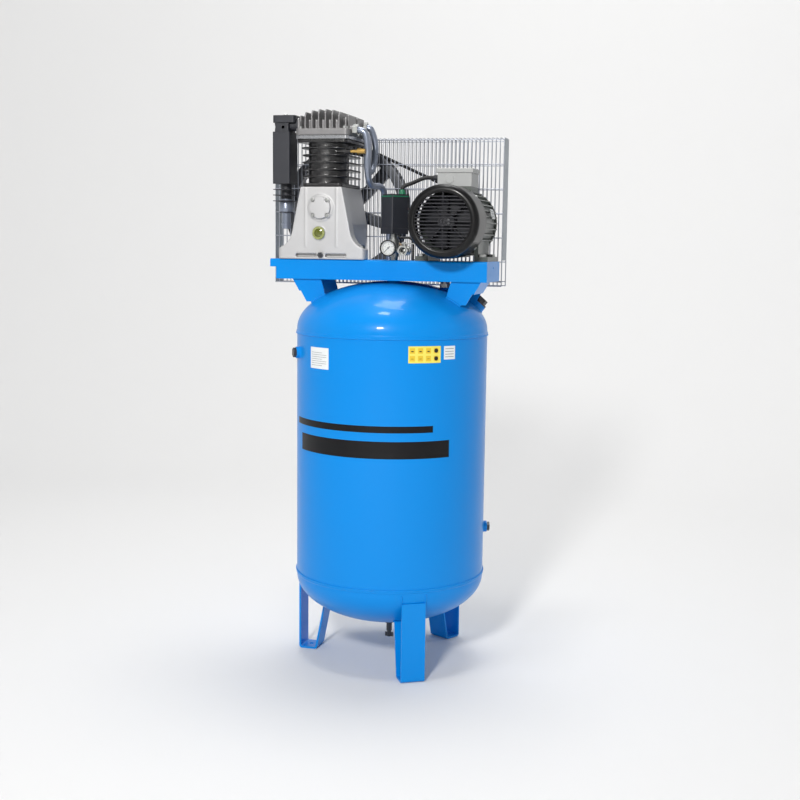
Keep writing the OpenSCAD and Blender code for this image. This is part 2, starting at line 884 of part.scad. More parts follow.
module crankshaft() {
    color(steel) {
        rod_y(pump_x, crank_z, -98, -66, 12.5);
        crank_web(-66, low_y - pin_half, 1);
        rod_y(pump_x, crank_z + throw, low_y - pin_half, low_y + pin_half, pin_r);
        rod_y(pump_x, crank_z + throw, low_y + pin_half, high_y - pin_half, 22);
        rod_y(pump_x, crank_z - throw, low_y + pin_half, high_y - pin_half, 22);
        box([pump_x - 22, low_y + pin_half, crank_z - throw],
            [pump_x + 22, high_y - pin_half, crank_z + throw]);
        rod_y(pump_x, crank_z - throw, high_y - pin_half, high_y + pin_half, pin_r);
        crank_web(high_y + pin_half, 88, -1);
        rod_y(pump_x, crank_z, 88, 120, 20);
        rod_y(pump_x, crank_z, 120, 188, 17);
        hex_y(pump_x, crank_z, 189, 12, 36);
        rod_y(pump_x, crank_z, 187, 206, 9);
    }
}

// Radius and Y of the belt grooves' walls, between the outer edges of a wheel's rim
function groove(y, r) =
    let (play = 0.35, top = belt_w / 2 + play, low = belt_w / 2 - 2.6 + play)
    [[r, y - top], [r - belt_h - 2, y - low], [r - belt_h - 2, y + low], [r, y + top]];

function grooved(r, inner, w) = concat(
    [[inner, belt_y - w / 2], [r - 2, belt_y - w / 2], [r, belt_y - w / 2 + 2]],
    groove(belt_y - belt_gap / 2, r),
    groove(belt_y + belt_gap / 2, r),
    [[r, belt_y + w / 2 - 2], [r - 2, belt_y + w / 2], [inner, belt_y + w / 2]]
);

// One curved spoke of the flywheel, drawn flat
module spoke() {
    n = 6;
    curve = 6;
    line = [for (i = [0:n])
        let (r = 26 + 156 * i / n, a = curve * i / n) r * [cos(a), sin(a)]];
    side = [for (i = [0:n])
        let (a = curve * i / n) (20 - 2 * sin(180 * i / n)) * [-sin(a), cos(a)]];
    polygon(concat([for (i = [0:n]) line[i] + side[i]], [for (i = [n:-1:0]) line[i] - side[i]]));
}

module flywheel() {
    spokes = 6;
    color(dark) {
        turned_y(pump_x, crank_z)
            polygon(grooved(wheel_r, wheel_r - 32, wheel_w));
        difference() {
            union() {
                turned_y(pump_x, crank_z)
                    polygon([[17 + fit, 122], [36, 122], [40, 130], [40, 180], [36, 186],
                        [17 + fit, 186]]);
                for (k = [0:spokes - 1])
                    translate([pump_x, 0, crank_z])
                        rotate([0, -360 * k / spokes - 38, 0])
                            slab(belt_y - 13, belt_y + 9)
                                spoke();
            }
            rod_y(pump_x, crank_z, 100, 220, 17 + fit);
        }
    }
}

module connecting_rod(y, big_z) {
    small_z = big_z + rod_len;
    difference() {
        union() {
            rod_y(pump_x, small_z, y - 11, y + 11, 13.5);
            rod_y(pump_x, big_z, y - 13.5, y + 13.5, 23);
            translate([pump_x, 0, 0])
                slab(y - 5, y + 5)
                    polygon([[-12, big_z + 16], [12, big_z + 16], [8, small_z - 10],
                        [-8, small_z - 10]]);
        }
        rod_y(pump_x, small_z, y - 12, y + 12, wrist_r + fit);
        rod_y(pump_x, big_z, y - 14, y + 14, pin_r + fit);
    }
}

module conn_rod_low() {
    color(silver)
        connecting_rod(low_y, crank_z + throw);
}

module conn_rod_high() {
    color(silver)
        connecting_rod(high_y, crank_z - throw);
}

// A piston with its rings and wrist pin, the pin's axis at z
module piston(y, z, bore, rings) {
    r = bore / 2 - 0.08;
    wall = 6;
    difference() {
        union() {
            difference() {
                rod_z(pump_x, y, z - 30, z + 29, r);
                rod_z(pump_x, y, z - 31, z + 18, r - wall);
                for (k = rings)
                    difference() {
                        rod_z(pump_x, y, z + k, z + k + 3, r + 1);
                        rod_z(pump_x, y, z + k - 1, z + k + 4, r - 3.5);
                    }
            }
            for (s = [-1, 1])
                intersection() {
                    rod_z(pump_x, y, z - 20, z + 20, r - 1);
                    translate([0, s > 0 ? y + 12.5 : y - bore, 0])
                        rod_y(pump_x, z, 0, bore - 12.5, 13);
                }
        }
        rod_y(pump_x, z, y - bore, y + bore, wrist_r + 0.02);
    }
    for (k = rings)
        difference() {
            rod_z(pump_x, y, z + k + 0.1, z + k + 2.9, r);
            rod_z(pump_x, y, z + k, z + k + 3, r - 3.3);
        }
    rod_y(pump_x, z, y - r + 6, y + r - 6, wrist_r);
}

module piston_low() {
    color(silver)
        piston(low_y, crank_z + throw + rod_len, bore_low, [23, 18, 13]);
}

module piston_high() {
    color(silver)
        piston(high_y, crank_z - throw + rod_len, bore_high, [23, 18, 13]);
}

// ---------- air intake ----------

module filter_outline(inset) {
    polygon(round_rect(filter_x0 + inset, filter_y0 + inset, filter_x1 - inset,
        filter_y1 - inset, 6));
}

module filter_housing() {
    color(dark)
        difference() {
            union() {
                translate([0, 0, filter_z0])
                    linear_extrude(filter_z1 - filter_z0)
                        filter_outline(0);
                // louvre plates round the neck, then the inlet cup and its pipe
                rod_z(stub_at.x, stub_at.y, stub_z, filter_z0, 17);
                for (z = [filter_z0 - 18.5, filter_z0 - 36, stub_z])
                    translate([0, 0, z])
                        linear_extrude(2)
                            filter_outline(0);
                rod_z(stub_at.x, stub_at.y, stub_z - 35, stub_z + 1, 22);
                rod_z(stub_at.x, stub_at.y, stub_z - 85, stub_z - 34, 14);
            }
            translate([0, 0, filter_z0 + 3])
                linear_extrude(filter_z1)
                    filter_outline(3);
            rod_z(stub_at.x, stub_at.y, stub_z - 86, filter_z0 + 4, 11);
        }
}

// The upper housing: a necked collar that carries the intake stub, and a rounded lid
module filter_cap() {
    z0 = filter_z1 + 0.3;
    mid = (filter_x0 + filter_x1) / 2;
    color(dark)
        difference() {
            union() {
                translate([0, 0, z0])
                    linear_extrude(4)
                        filter_outline(0);
                translate([0, 0, z0 + 4])
                    linear_extrude(28)
                        filter_outline(5);
                translate([0, 0, z0 + 32])
                    linear_extrude(22)
                        polygon(round_rect(filter_x0, filter_y0, filter_x1 + 16, filter_y1, 10));
            }
            translate([0, 0, z0 - 1])
                linear_extrude(36)
                    filter_outline(9);
            rod_y(filter_x0 + 34, z0 + 18, filter_y0 - 1, filter_y0 + 20, 5);
            rod_x(mid, filter_x1 + 1, low_y, intake_z, 13);
            rod_x(filter_x1 - 4.9, filter_x1 + 17, low_y, intake_z, 17.3);
            rod_y(filter_x0 - 4, z0 + 18, filter_y0 - 1, filter_y1 + 1, 12);
        }
}

module filter_element() {
    mid = [(filter_x0 + filter_x1) / 2, (filter_y0 + filter_y1) / 2];
    pleats = 24;
    color([0.85, 0.82, 0.7])
        translate([mid.x, mid.y, filter_z0 + 6])
            linear_extrude(filter_z1 - filter_z0 - 12)
                difference() {
                    polygon([for (i = [0:2 * pleats - 1])
                        (i % 2 == 0 ? 25 : 20) * [cos(180 * i / pleats), sin(180 * i / pleats)]]);
                    circle(r = 16);
                }
}

module intake_elbow() {
    color(dark)
        difference() {
            union() {
                rod_x(filter_x1 - 4.8, pump_x - 92.2, low_y, intake_z, 17);
                rod_x(pump_x - 98, pump_x - 92.2, low_y, intake_z, 23);
            }
            rod_x(filter_x1 - 6, pump_x - 91, low_y, intake_z, 13);
        }
}

// ---------- tubes and valves ----------

module intercooler_tube() {
    color(steel)
        tube(cooler_route, 10, 16, 4);
}

module delivery_tube() {
    color(steel)
        tube(delivery_route, 10, 16, 4);
}

module nut_x(x0, x1, y, z, across, r) {
    difference() {
        translate([x0, y, z])
            rotate([0, 90, 0])
                cylinder(h = x1 - x0, r = across / 2 / cos(30), $fn = 6);
        rod_x(x0 - 1, x1 + 1, y, z, r);
    }
}

module tube_nuts() {
    color(light_grey) {
        nut_x(pump_x + 88.2, pump_x + 104, delivery_y, cooler_z, 32, 12);
        nut_x(pump_x + 88.2, pump_x + 93.4, cooler_y, cooler_z, 30, 12.8);
        nut_x(pump_x + 82.2, pump_x + 92, return_y, return_z, 30, 12.2);
    }
}

module check_valve() {
    z = check_z;
    color(brass_tone)
        difference() {
            union() {
                rod_z(check_at.x, check_at.y, z - 12, z, thread_r - 0.1);
                hex_z(check_at.x, check_at.y, z, 12, 32);
                rod_z(check_at.x, check_at.y, z + 12, z + 48, 14);
                hex_z(check_at.x, check_at.y, z + 48, 6, 24);
                rod_x(check_at.x - 21, check_at.x, check_at.y, 1228, 13);
                rod_x(check_at.x - 21, check_at.x, check_at.y - 6, 1215, 5);
            }
            rod_z(check_at.x, check_at.y, z - 13, z + 44, 8);
            rod_x(check_at.x - 22, check_at.x, check_at.y, 1228, 10.4);
        }
}

module unloader_tube() {
    color(black)
        tube(unloader_route, 3.5, 8, 3);
}

// ---------- motor ----------

// Outline of the finned frame, with its cooling ribs as points of one polygon
function ribbed(core, tip, ribs, half) = [
    for (i = [0:ribs - 1])
        let (a = 360 * i / ribs)
        each [core * [cos(a - half), sin(a - half)], tip * [cos(a - half * 0.8), sin(a - half * 0.8)],
            tip * [cos(a + half * 0.8), sin(a + half * 0.8)], core * [cos(a + half), sin(a + half)]]
];

module motor_frame() {
    color(grey_green)
        difference() {
            union() {
                translate([motor_x, 0, motor_z])
                    slab(frame_y0, frame_y1)
                        polygon(ribbed(97, 106, 36, 1.3));
                box([motor_x - 52, -48, motor_z + 70], [motor_x + 52, 56, motor_z + 109]);
                for (s = [-1, 1]) {
                    box([motor_x + (s > 0 ? 74 : -113), frame_y0 + 0.5, deck_top],
                        [motor_x + (s > 0 ? 113 : -74), 85, deck_top + 14]);
                    box([motor_x + (s > 0 ? 72 : -84), frame_y0 + 0.5, deck_top],
                        [motor_x + (s > 0 ? 84 : -72), 85, motor_z - 40]);
                }
            }
            rod_y(motor_x, motor_z, frame_y0 - 10, frame_y1 + 1, 85);
            for (b = motor_bolts)
                rod_z(motor_x + b.x, b.y, deck_top - 1, deck_top + 16, 6.3);
        }
}

module motor_shields() {
    color(grey_green) {
        turned_y(motor_x, motor_z)
            polygon([[84.9, 97], [84.9, 105], [103, 105], [103, 112], [94, 120], [62, 126],
                [50, 134], [46, 139], [14.6, 139], [14.6, 134], [31, 134], [31, 116],
                [36, 112], [76, 108], [76, 97]]);
        turned_y(motor_x, motor_z)
            polygon([[84.9, -72], [84.9, -80], [100, -80], [100, -88], [84, -92], [46, -98],
                [14.6, -98], [14.6, -94], [31, -94], [31, -76], [38, -74], [76, -80], [76, -72]]);
    }
}

module motor_stator() {
    color([0.5, 0.3, 0.15])
        difference() {
            rod_y(motor_x, motor_z, -55, 75, 84.9);
            rod_y(motor_x, motor_z, -56, 76, 56.6);
        }
}

module motor_rotor() {
    color(steel) {
        difference() {
            rod_y(motor_x, motor_z, -50, 70, 56);
            rod_y(motor_x, motor_z, -51, 71, 20);
        }
        rod_y(motor_x, motor_z, -150, -93.8, 11);
        rod_y(motor_x, motor_z, -93.8, -76, 15);
        rod_y(motor_x, motor_z, -76, 115, 20);
        rod_y(motor_x, motor_z, 115, 134, 15);
        rod_y(motor_x, motor_z, 134, 200, shaft_r);
    }
}

module motor_bearings() {
    color(steel)
        for (y = [-94, 116])
            difference() {
                rod_y(motor_x, motor_z, y, y + 18, 30.95);
                rod_y(motor_x, motor_z, y - 1, y + 19, 15 + fit);
            }
}

module cooling_fan() {
    color(black) {
        turned_y(motor_x, motor_z)
            polygon([[11 + fit, -145], [24, -145], [26, -112], [80, -108], [80, -105],
                [11 + fit, -109]]);
        for (k = [0:7])
            translate([motor_x, 0, motor_z])
                rotate([0, 45 * k, 0])
                    box([24, -140, -1.5], [80, -106, 1.5]);
    }
}

module fan_cowl() {
    r = cowl_r;
    f = cowl_front;
    slots = 16;
    slot_pitch = 10.4;
    grille_r = 84;
    color(black)
        difference() {
            union() {
                turned_y(motor_x, motor_z)
                    polygon(concat(
                        [[r, -84]], arc([r - 16, f + 16], 16, 0, -80, 5),
                        [[90, f + 0.5], [86, f + 3], [0, f + 3], [0, f + 5], [86, f + 5],
                            [91, f + 2.5]],
                        arc([r - 16, f + 16], 14, -80, 0, 5), [[r - 2, -84]]
                    ));
                difference() {
                    rod_y(motor_x, motor_z, f + 0.5, f + 5, 12);
                    rod_y(motor_x, motor_z, f - 1, f + 2, 8);
                }
            }
            for (k = [0:slots - 1]) {
                z = (k - (slots - 1) / 2) * slot_pitch;
                half = sqrt(grille_r * grille_r - z * z);
                for (s = [-1, 1])
                    box([motor_x + (s > 0 ? max(0, abs(z) > 12 ? 1.5 : 14) : -half),
                        f + 1, motor_z + z - 3],
                        [motor_x + (s > 0 ? half : -max(0, abs(z) > 12 ? 1.5 : 14)),
                        f + 7, motor_z + z + 3]);
            }
        }
}

box_x0 = motor_x - 54;
box_x1 = motor_x + 52;
box_z0 = motor_z + 109;

module terminal_box() {
    color(light_grey)
        difference() {
            union() {
                box([box_x0, -46, box_z0], [box_x1, 54, box_z0 + 40]);
                rod_y(box_x0 + 38, box_z0 + 22, -48, -46, 14);
            }
            box([box_x0 + 4, -42, box_z0 + 4], [box_x1 - 4, 50, box_z0 + 41]);
            rod_x(box_x0 - 1, box_x0 + 5, cable_y, cable_z, gland_r);
        }
}

module terminal_box_lid() {
    z = box_z0 + 40;
    color(light_grey) {
        difference() {
            box([box_x0 - 4, -50, z + 0.2], [box_x1 + 4, 58, z + 14]);
            box([box_x0 + 6, -40, z], [box_x1 - 6, 48, z + 10]);
        }
    }
}

// A cable gland standing on z = 0, its shank going down through the wall
module gland(h = 21) {
    difference() {
        union() {
            translate([0, 0, -7])
                cylinder(h = 8, r = gland_r - 0.1);
            translate([0, 0, 0.1])
                cylinder(h = 5, r = 11, $fn = 6);
            cylinder(h = h, r = gland_r + 0.5);
        }
        translate([0, 0, -8])
            cylinder(h = 30, r = cord_r);
    }
}

// Glands of the motor cable at both its ends, and the one that takes the supply cord
module cable_glands() {
    color(black) {
        translate([box_x0, cable_y, cable_z])
            rotate([0, -90, 0])
                gland();
        on_switch() {
            translate([gland_at, gland_at, 121.2])
                gland(14);
            translate([-switch_w / 2, 0, 40])
                rotate([0, -90, 0])
                    gland();
        }
    }
}

module motor_cable() {
    color(black)
        tube(cable_route, cable_r, 12, 3);
}

module motor_pulley() {
    color(dark) {
        turned_y(motor_x, motor_z)
            polygon(grooved(pulley_r, pulley_r - 16, 36));
        turned_y(motor_x, motor_z)
            polygon([[shaft_r + 0.02, 150], [30, 150], [30, 164], [pulley_r - 15, 164],
                [pulley_r - 15, 176], [30, 176], [30, 194], [shaft_r + 0.02, 194]]);
    }
}

// A belt's section at each step round its loop: offset from the outer face, and width
belt_section = [[0.5, -belt_w / 2], [0.5 - belt_h, 2.6 - belt_w / 2],
    [0.5 - belt_h, belt_w / 2 - 2.6], [0.5, belt_w / 2]];

function belt_rings(x, z, r, a0, a1, n) = [
    for (i = [0:n], q = belt_section)
        let (a = a0 + (a1 - a0) * i / n)
        [x + (r + q[0]) * cos(a), q[1], z + (r + q[0]) * sin(a)]
];

module v_belts() {
    up = centre_slope + belt_lean;
    down = centre_slope - belt_lean;
    points = concat(
        belt_rings(pump_x, crank_z, wheel_r, up, down + 360, 60),
        belt_rings(motor_x, motor_z, pulley_r, down, up, 24)
    );
    rings = len(points) / 4;
    corners = [for (i = [0:rings - 1], k = [0:3])
        [i * 4 + k, ((i + 1) % rings) * 4 + k, ((i + 1) % rings) * 4 + (k + 1) % 4,
            i * 4 + (k + 1) % 4]];
    faces = concat(
        [for (c = corners) [c[0], c[1], c[2]]],
        [for (c = corners) [c[0], c[2], c[3]]]
    );
    color(rubber_tone)
        for (s = [-1, 1])
            translate([0, belt_y + s * belt_gap / 2, 0])
                polyhedron(points, faces, convexity = 8);
}

// ---------- belt guard ----------

// A flat grille of upright and cross wires, drawn flat from one corner
module grille(w, h, columns, rows) {
    step_x = (w - wire_d) / columns;
    step_y = (h - wire_d) / rows;
    linear_extrude(wire_d)
        difference() {
            square([w, h]);
            for (i = [0:columns - 1], k = [0:rows - 1])
                translate([wire_d + i * step_x, wire_d + k * step_y])
                    square([step_x - wire_d, step_y - wire_d]);
        }
}

module mesh_panel(y) {
    translate([guard_x0, y + wire_d, guard_z0])
        rotate([90, 0, 0])
            grille(guard_x1 - guard_x0, guard_z1 - guard_z0, guard_columns, 6);
}

module guard_ring(x, z, y, r) {
    difference() {
        rod_y(x, z, y, y + wire_d, r + 4);
        rod_y(x, z, y - 1, y + wire_d + 1, r);
    }
}

module guard_mesh() {
    color(light_grey) {
        mesh_panel(guard_y1);
        translate([guard_x0, guard_y0 + 0.5, guard_z1 - wire_d])
            grille(guard_x1 - guard_x0, guard_depth - 1, guard_columns, 1);
        difference() {
            mesh_panel(guard_y0);
            rod_y(pump_x, crank_z, guard_y0 - 1, guard_y0 + 5, 52);
            rod_y(motor_x, motor_z, guard_y0 - 1, guard_y0 + 5, 32);
        }
        guard_ring(pump_x, crank_z, guard_y0, 50);
        guard_ring(motor_x, motor_z, guard_y0, 30);
    }
}

// End strips between the meshes and the stand-off brackets to the deck's rear flange
module guard_strips() {
    y0 = guard_y0 + wire_d;
    top = guard_z1 - wire_d;
    color(light_grey) {
        box([guard_x1 - 3, y0, deck_top + 2], [guard_x1, guard_y1, top]);
        box([guard_x0, y0, guard_z0], [guard_x0 + 3, guard_y1, top]);
        for (x = tie_bolts)
            difference() {
                union() {
                    box([x - 12, deck_half, deck_top - 36], [x + 12, deck_half + 3, deck_top - 8]);
                    box([x - 12, deck_half + 3, deck_top - 12],
                        [x + 12, guard_y0, deck_top - 9]);
                    box([x - 12, guard_y0 - 3, deck_top - 36],
                        [x + 12, guard_y0, deck_top - 9]);
                }
                rod_y(x, deck_top - 22, deck_half - 1, guard_y0 + 1, 4.2);
            }
    }
}

// ---------- controls ----------

module manifold() {
    x = riser_at.x;
    y = riser_at.y;
    color(steel)
        difference() {
            union() {
                rod_z(x, y, apex_high - 4, block_low, thread_r - 0.1);
                hex_z(x, y, apex_high + 6, 8, 27);
                rod_z(x, y, block_low, switch_z0 - 16, 17);
                rod_z(x, y, switch_z0 - 16, switch_z0, 10.5);
                rod_y(gauge_x, gauge_z, gauge_y, y, 7);
                rod_x(x, valve_at.x + 11, y, valve_z, 11);
                rod_y(valve_at.x, valve_z, valve_at.y + 14.6, y, 11);
                rod_y(x, valve_z + 16, y, y + 30, 9);
            }
            rod_z(x, y, apex_high - 5, switch_z0 + 1, 6);
            rod_y(gauge_x, gauge_z, gauge_y - 1, y, 3);
            rod_x(x, valve_at.x, y, valve_z, 6);
            rod_y(valve_at.x, valve_z, valve_at.y + 13, y, 6);
        }
}

module on_switch() {
    translate([switch_at.x, switch_at.y, switch_z0])
        rotate([0, 0, -switch_turn])
            children();
}

module switch_base() {
    h = switch_w / 2;
    color(dark)
        difference() {
            on_switch()
                linear_extrude(18)
                    polygon(round_rect(-h - 1, -h - 1, h + 1, h + 1, 3));
            rod_z(riser_at.x, riser_at.y, switch_z0 - 1, switch_z0 + 8, 7);
        }
}

module switch_cover() {
    h = switch_w / 2;
    color(dark)
        on_switch()
            difference() {
                union() {
                    translate([0, 0, 18.2])
                        linear_extrude(98)
                            polygon(round_rect(-h, -h, h, h, 4));
                    translate([0, 0, 116.2])
                        linear_extrude(5)
                            polygon(round_rect(3 - h, 3 - h, h - 3, h - 3, 4));
                }
                translate([0, 0, 17])
                    linear_extrude(96)
                        polygon(round_rect(3 - h, 3 - h, h - 3, h - 3, 3));
                translate([0, h + 1, 78])
                    rotate([90, 0, 0])
                        cylinder(h = 6, r = 4.3);
                translate([-h, 0, 40])
                    rotate([0, 90, 0])
                        cylinder(h = 8, r = gland_r, center = true);
                translate([gland_at, gland_at, 110])
                    cylinder(h = 12, r = gland_r);
            }
}

// The push-pull knob on the cover's far face
module switch_knob() {
    h = switch_w / 2;
    color([0.7, 0.1, 0.08])
        on_switch() {
            translate([0, h + 3, 78])
                rotate([90, 0, 0])
                    cylinder(h = 18, r = 4.25);
            translate([0, h + 13, 78])
                rotate([90, 0, 0])
                    cylinder(h = 11, r = 11);
        }
}

module gauge_case() {
    color(black)
        turned_y(gauge_x, gauge_z)
            polygon([[0, gauge_y], [gauge_r - 1, gauge_y], [gauge_r, gauge_y - 2],
                [gauge_r, gauge_y - 17], [gauge_r - 2.5, gauge_y - 18],
                [gauge_r - 2.5, gauge_y - 14], [gauge_r - 2.5, gauge_y - 8], [0, gauge_y - 8]]);
}

module gauge_glass() {
    color([0.85, 0.9, 0.92, 0.3])
        rod_y(gauge_x, gauge_z, gauge_y - 15.5, gauge_y - 14, gauge_r - 2.6);
}

module gauge_needle() {
    color(black)
        translate([gauge_x, 0, gauge_z])
            rotate([0, -135, 0]) {
                rod_y(0, 0, gauge_y - 11.5, gauge_y - 9, 3);
                slab(gauge_y - 10.8, gauge_y - 9.8)
                    polygon([[-1.6, -7], [1.6, -7], [0.5, 17], [-0.5, 17]]);
            }
}

// The receiver's safety valve on the manifold, and the small one on the intercooler
module safety_valves() {
    x = riser_at.x;
    y = riser_at.y;
    z = valve_z + 16;
    color(brass_tone) {
        rod_y(x, z, y + 30.2, y + 37, 8);
        translate([x, y + 37, z])
            rotate([-90, 0, 0])
                cylinder(h = 8, r = 11, $fn = 6);
        rod_y(x, z, y + 45, y + 65, 8.5);
        rod_y(x, z, y + 65, y + 69, 5);
        rod_x(-118, -96, relief.x, relief.y, 5);
        translate([-96, relief.x, relief.y])
            rotate([0, 90, 0])
                cylinder(h = 10, r = 10, $fn = 6);
        rod_x(-86, -72, relief.x, relief.y, 8);
    }
}

module ball_valve_body() {
    x = valve_at.x;
    y = valve_at.y;
    color(steel)
        difference() {
            union() {
                rod_y(x, valve_z, y - 22, y + 14.4, 14);
                translate([x, y - 26, valve_z])
                    rotate([-90, 0, 0])
                        cylinder(h = 14, r = 17, $fn = 6);
                translate([x, y + 2.4, valve_z])
                    rotate([-90, 0, 0])
                        cylinder(h = 12, r = 17, $fn = 6);
                rod_z(x, y, valve_z, valve_z + 19, 7);
            }
            rod_y(x, valve_z, y - 11, y + 16, 9.5);
            rod_y(x, valve_z, y - 27, y - 10, outlet_r);
            rod_z(x, y, valve_z, valve_z + 20, 4.2);
        }
}

// The lever with its stem, and the bored ball that it turns
module ball_valve_lever() {
    x = valve_at.x;
    y = valve_at.y;
    reach = 44;
    color(steel)
        difference() {
            union() {
                translate([x, y, valve_z])
                    sphere(r = 9.3);
                rod_z(x, y, valve_z + 7, valve_z + 26, 4.1);
                box([x - 9, y - 6, valve_z + 20], [x + 12, y + 6, valve_z + 23]);
                box([x + 9, y - 5, valve_z + 20], [x + reach, y + 5, valve_z + 23]);
                rod_z(x + reach, y, valve_z + 20, valve_z + 23, 5);
            }
            rod_x(x - 12, x + 12, y, valve_z, 5.5);
        }
}

// ---------- the assembly ----------

tank_shell();
tank_top_head();
tank_bottom_head();
tank_legs();
threaded_plugs();
drain_valve_body();
drain_knob();
platform_deck();
platform_brackets();
mounting_bolts();
crankcase();
bearing_covers();
main_bearings();
crankshaft();
flywheel();
conn_rod_low();
conn_rod_high();
piston_low();
piston_high();
cylinder_block();
pump_gaskets();
valve_plate();
cylinder_head();
head_bolts();
sight_glass_bezel();
sight_glass_lens();
filter_housing();
filter_cap();
filter_element();
intake_elbow();
intercooler_tube();
delivery_tube();
tube_nuts();
check_valve();
unloader_tube();
motor_frame();
motor_shields();
motor_stator();
motor_rotor();
motor_bearings();
cooling_fan();
fan_cowl();
terminal_box();
terminal_box_lid();
cable_glands();
motor_cable();
motor_pulley();
v_belts();
guard_mesh();
guard_strips();
manifold();
switch_base();
switch_cover();
switch_knob();
gauge_case();
gauge_glass();
gauge_needle();
safety_valves();
ball_valve_body();
ball_valve_lever();
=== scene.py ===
"""Looks of a vertical tank compressor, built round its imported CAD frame."""
import json
import math
import random

import bmesh
import bpy
from mathutils import Matrix, Vector


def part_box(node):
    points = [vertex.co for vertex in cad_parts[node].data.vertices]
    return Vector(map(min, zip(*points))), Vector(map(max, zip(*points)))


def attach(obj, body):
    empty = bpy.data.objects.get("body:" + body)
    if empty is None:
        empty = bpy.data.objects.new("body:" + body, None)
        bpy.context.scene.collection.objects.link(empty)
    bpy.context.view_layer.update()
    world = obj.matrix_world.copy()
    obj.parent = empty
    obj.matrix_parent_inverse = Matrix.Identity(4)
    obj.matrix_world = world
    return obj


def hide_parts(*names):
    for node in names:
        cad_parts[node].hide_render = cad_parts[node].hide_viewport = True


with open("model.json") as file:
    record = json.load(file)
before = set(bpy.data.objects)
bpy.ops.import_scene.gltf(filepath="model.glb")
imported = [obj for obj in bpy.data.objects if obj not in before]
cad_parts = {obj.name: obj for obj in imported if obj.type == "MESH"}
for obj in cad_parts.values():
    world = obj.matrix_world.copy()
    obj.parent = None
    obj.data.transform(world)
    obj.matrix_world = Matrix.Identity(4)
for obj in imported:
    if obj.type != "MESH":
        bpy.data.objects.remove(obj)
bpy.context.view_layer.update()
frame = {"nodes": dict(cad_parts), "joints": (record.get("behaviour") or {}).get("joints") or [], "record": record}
nodes, record = frame["nodes"], frame["record"]
body_of = {n: b for b, ns in record["behaviour"]["bodies"].items() for n in ns}
slot_of = {s["node"]: s["material_slot"] for s in record["subparts"]}
ROOT = "compressor"
MM = 0.001
random.seed(7)


def box_mm(node):
    lo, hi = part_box(node)
    return lo / MM, hi / MM


# ---------- materials ----------

def srgb(r, g, b):
    return tuple((c / 12.92 if c <= 0.04045 else ((c + 0.055) / 1.055) ** 2.4)
                 for c in (r / 255, g / 255, b / 255))


def node(t, kind, x=0, y=0, **inputs):
    n = t.nodes.new(kind)
    n.location = (x, y)
    for k, v in inputs.items():
        if k in n.inputs:
            n.inputs[k].default_value = v
        else:
            setattr(n, k, v)
    return n


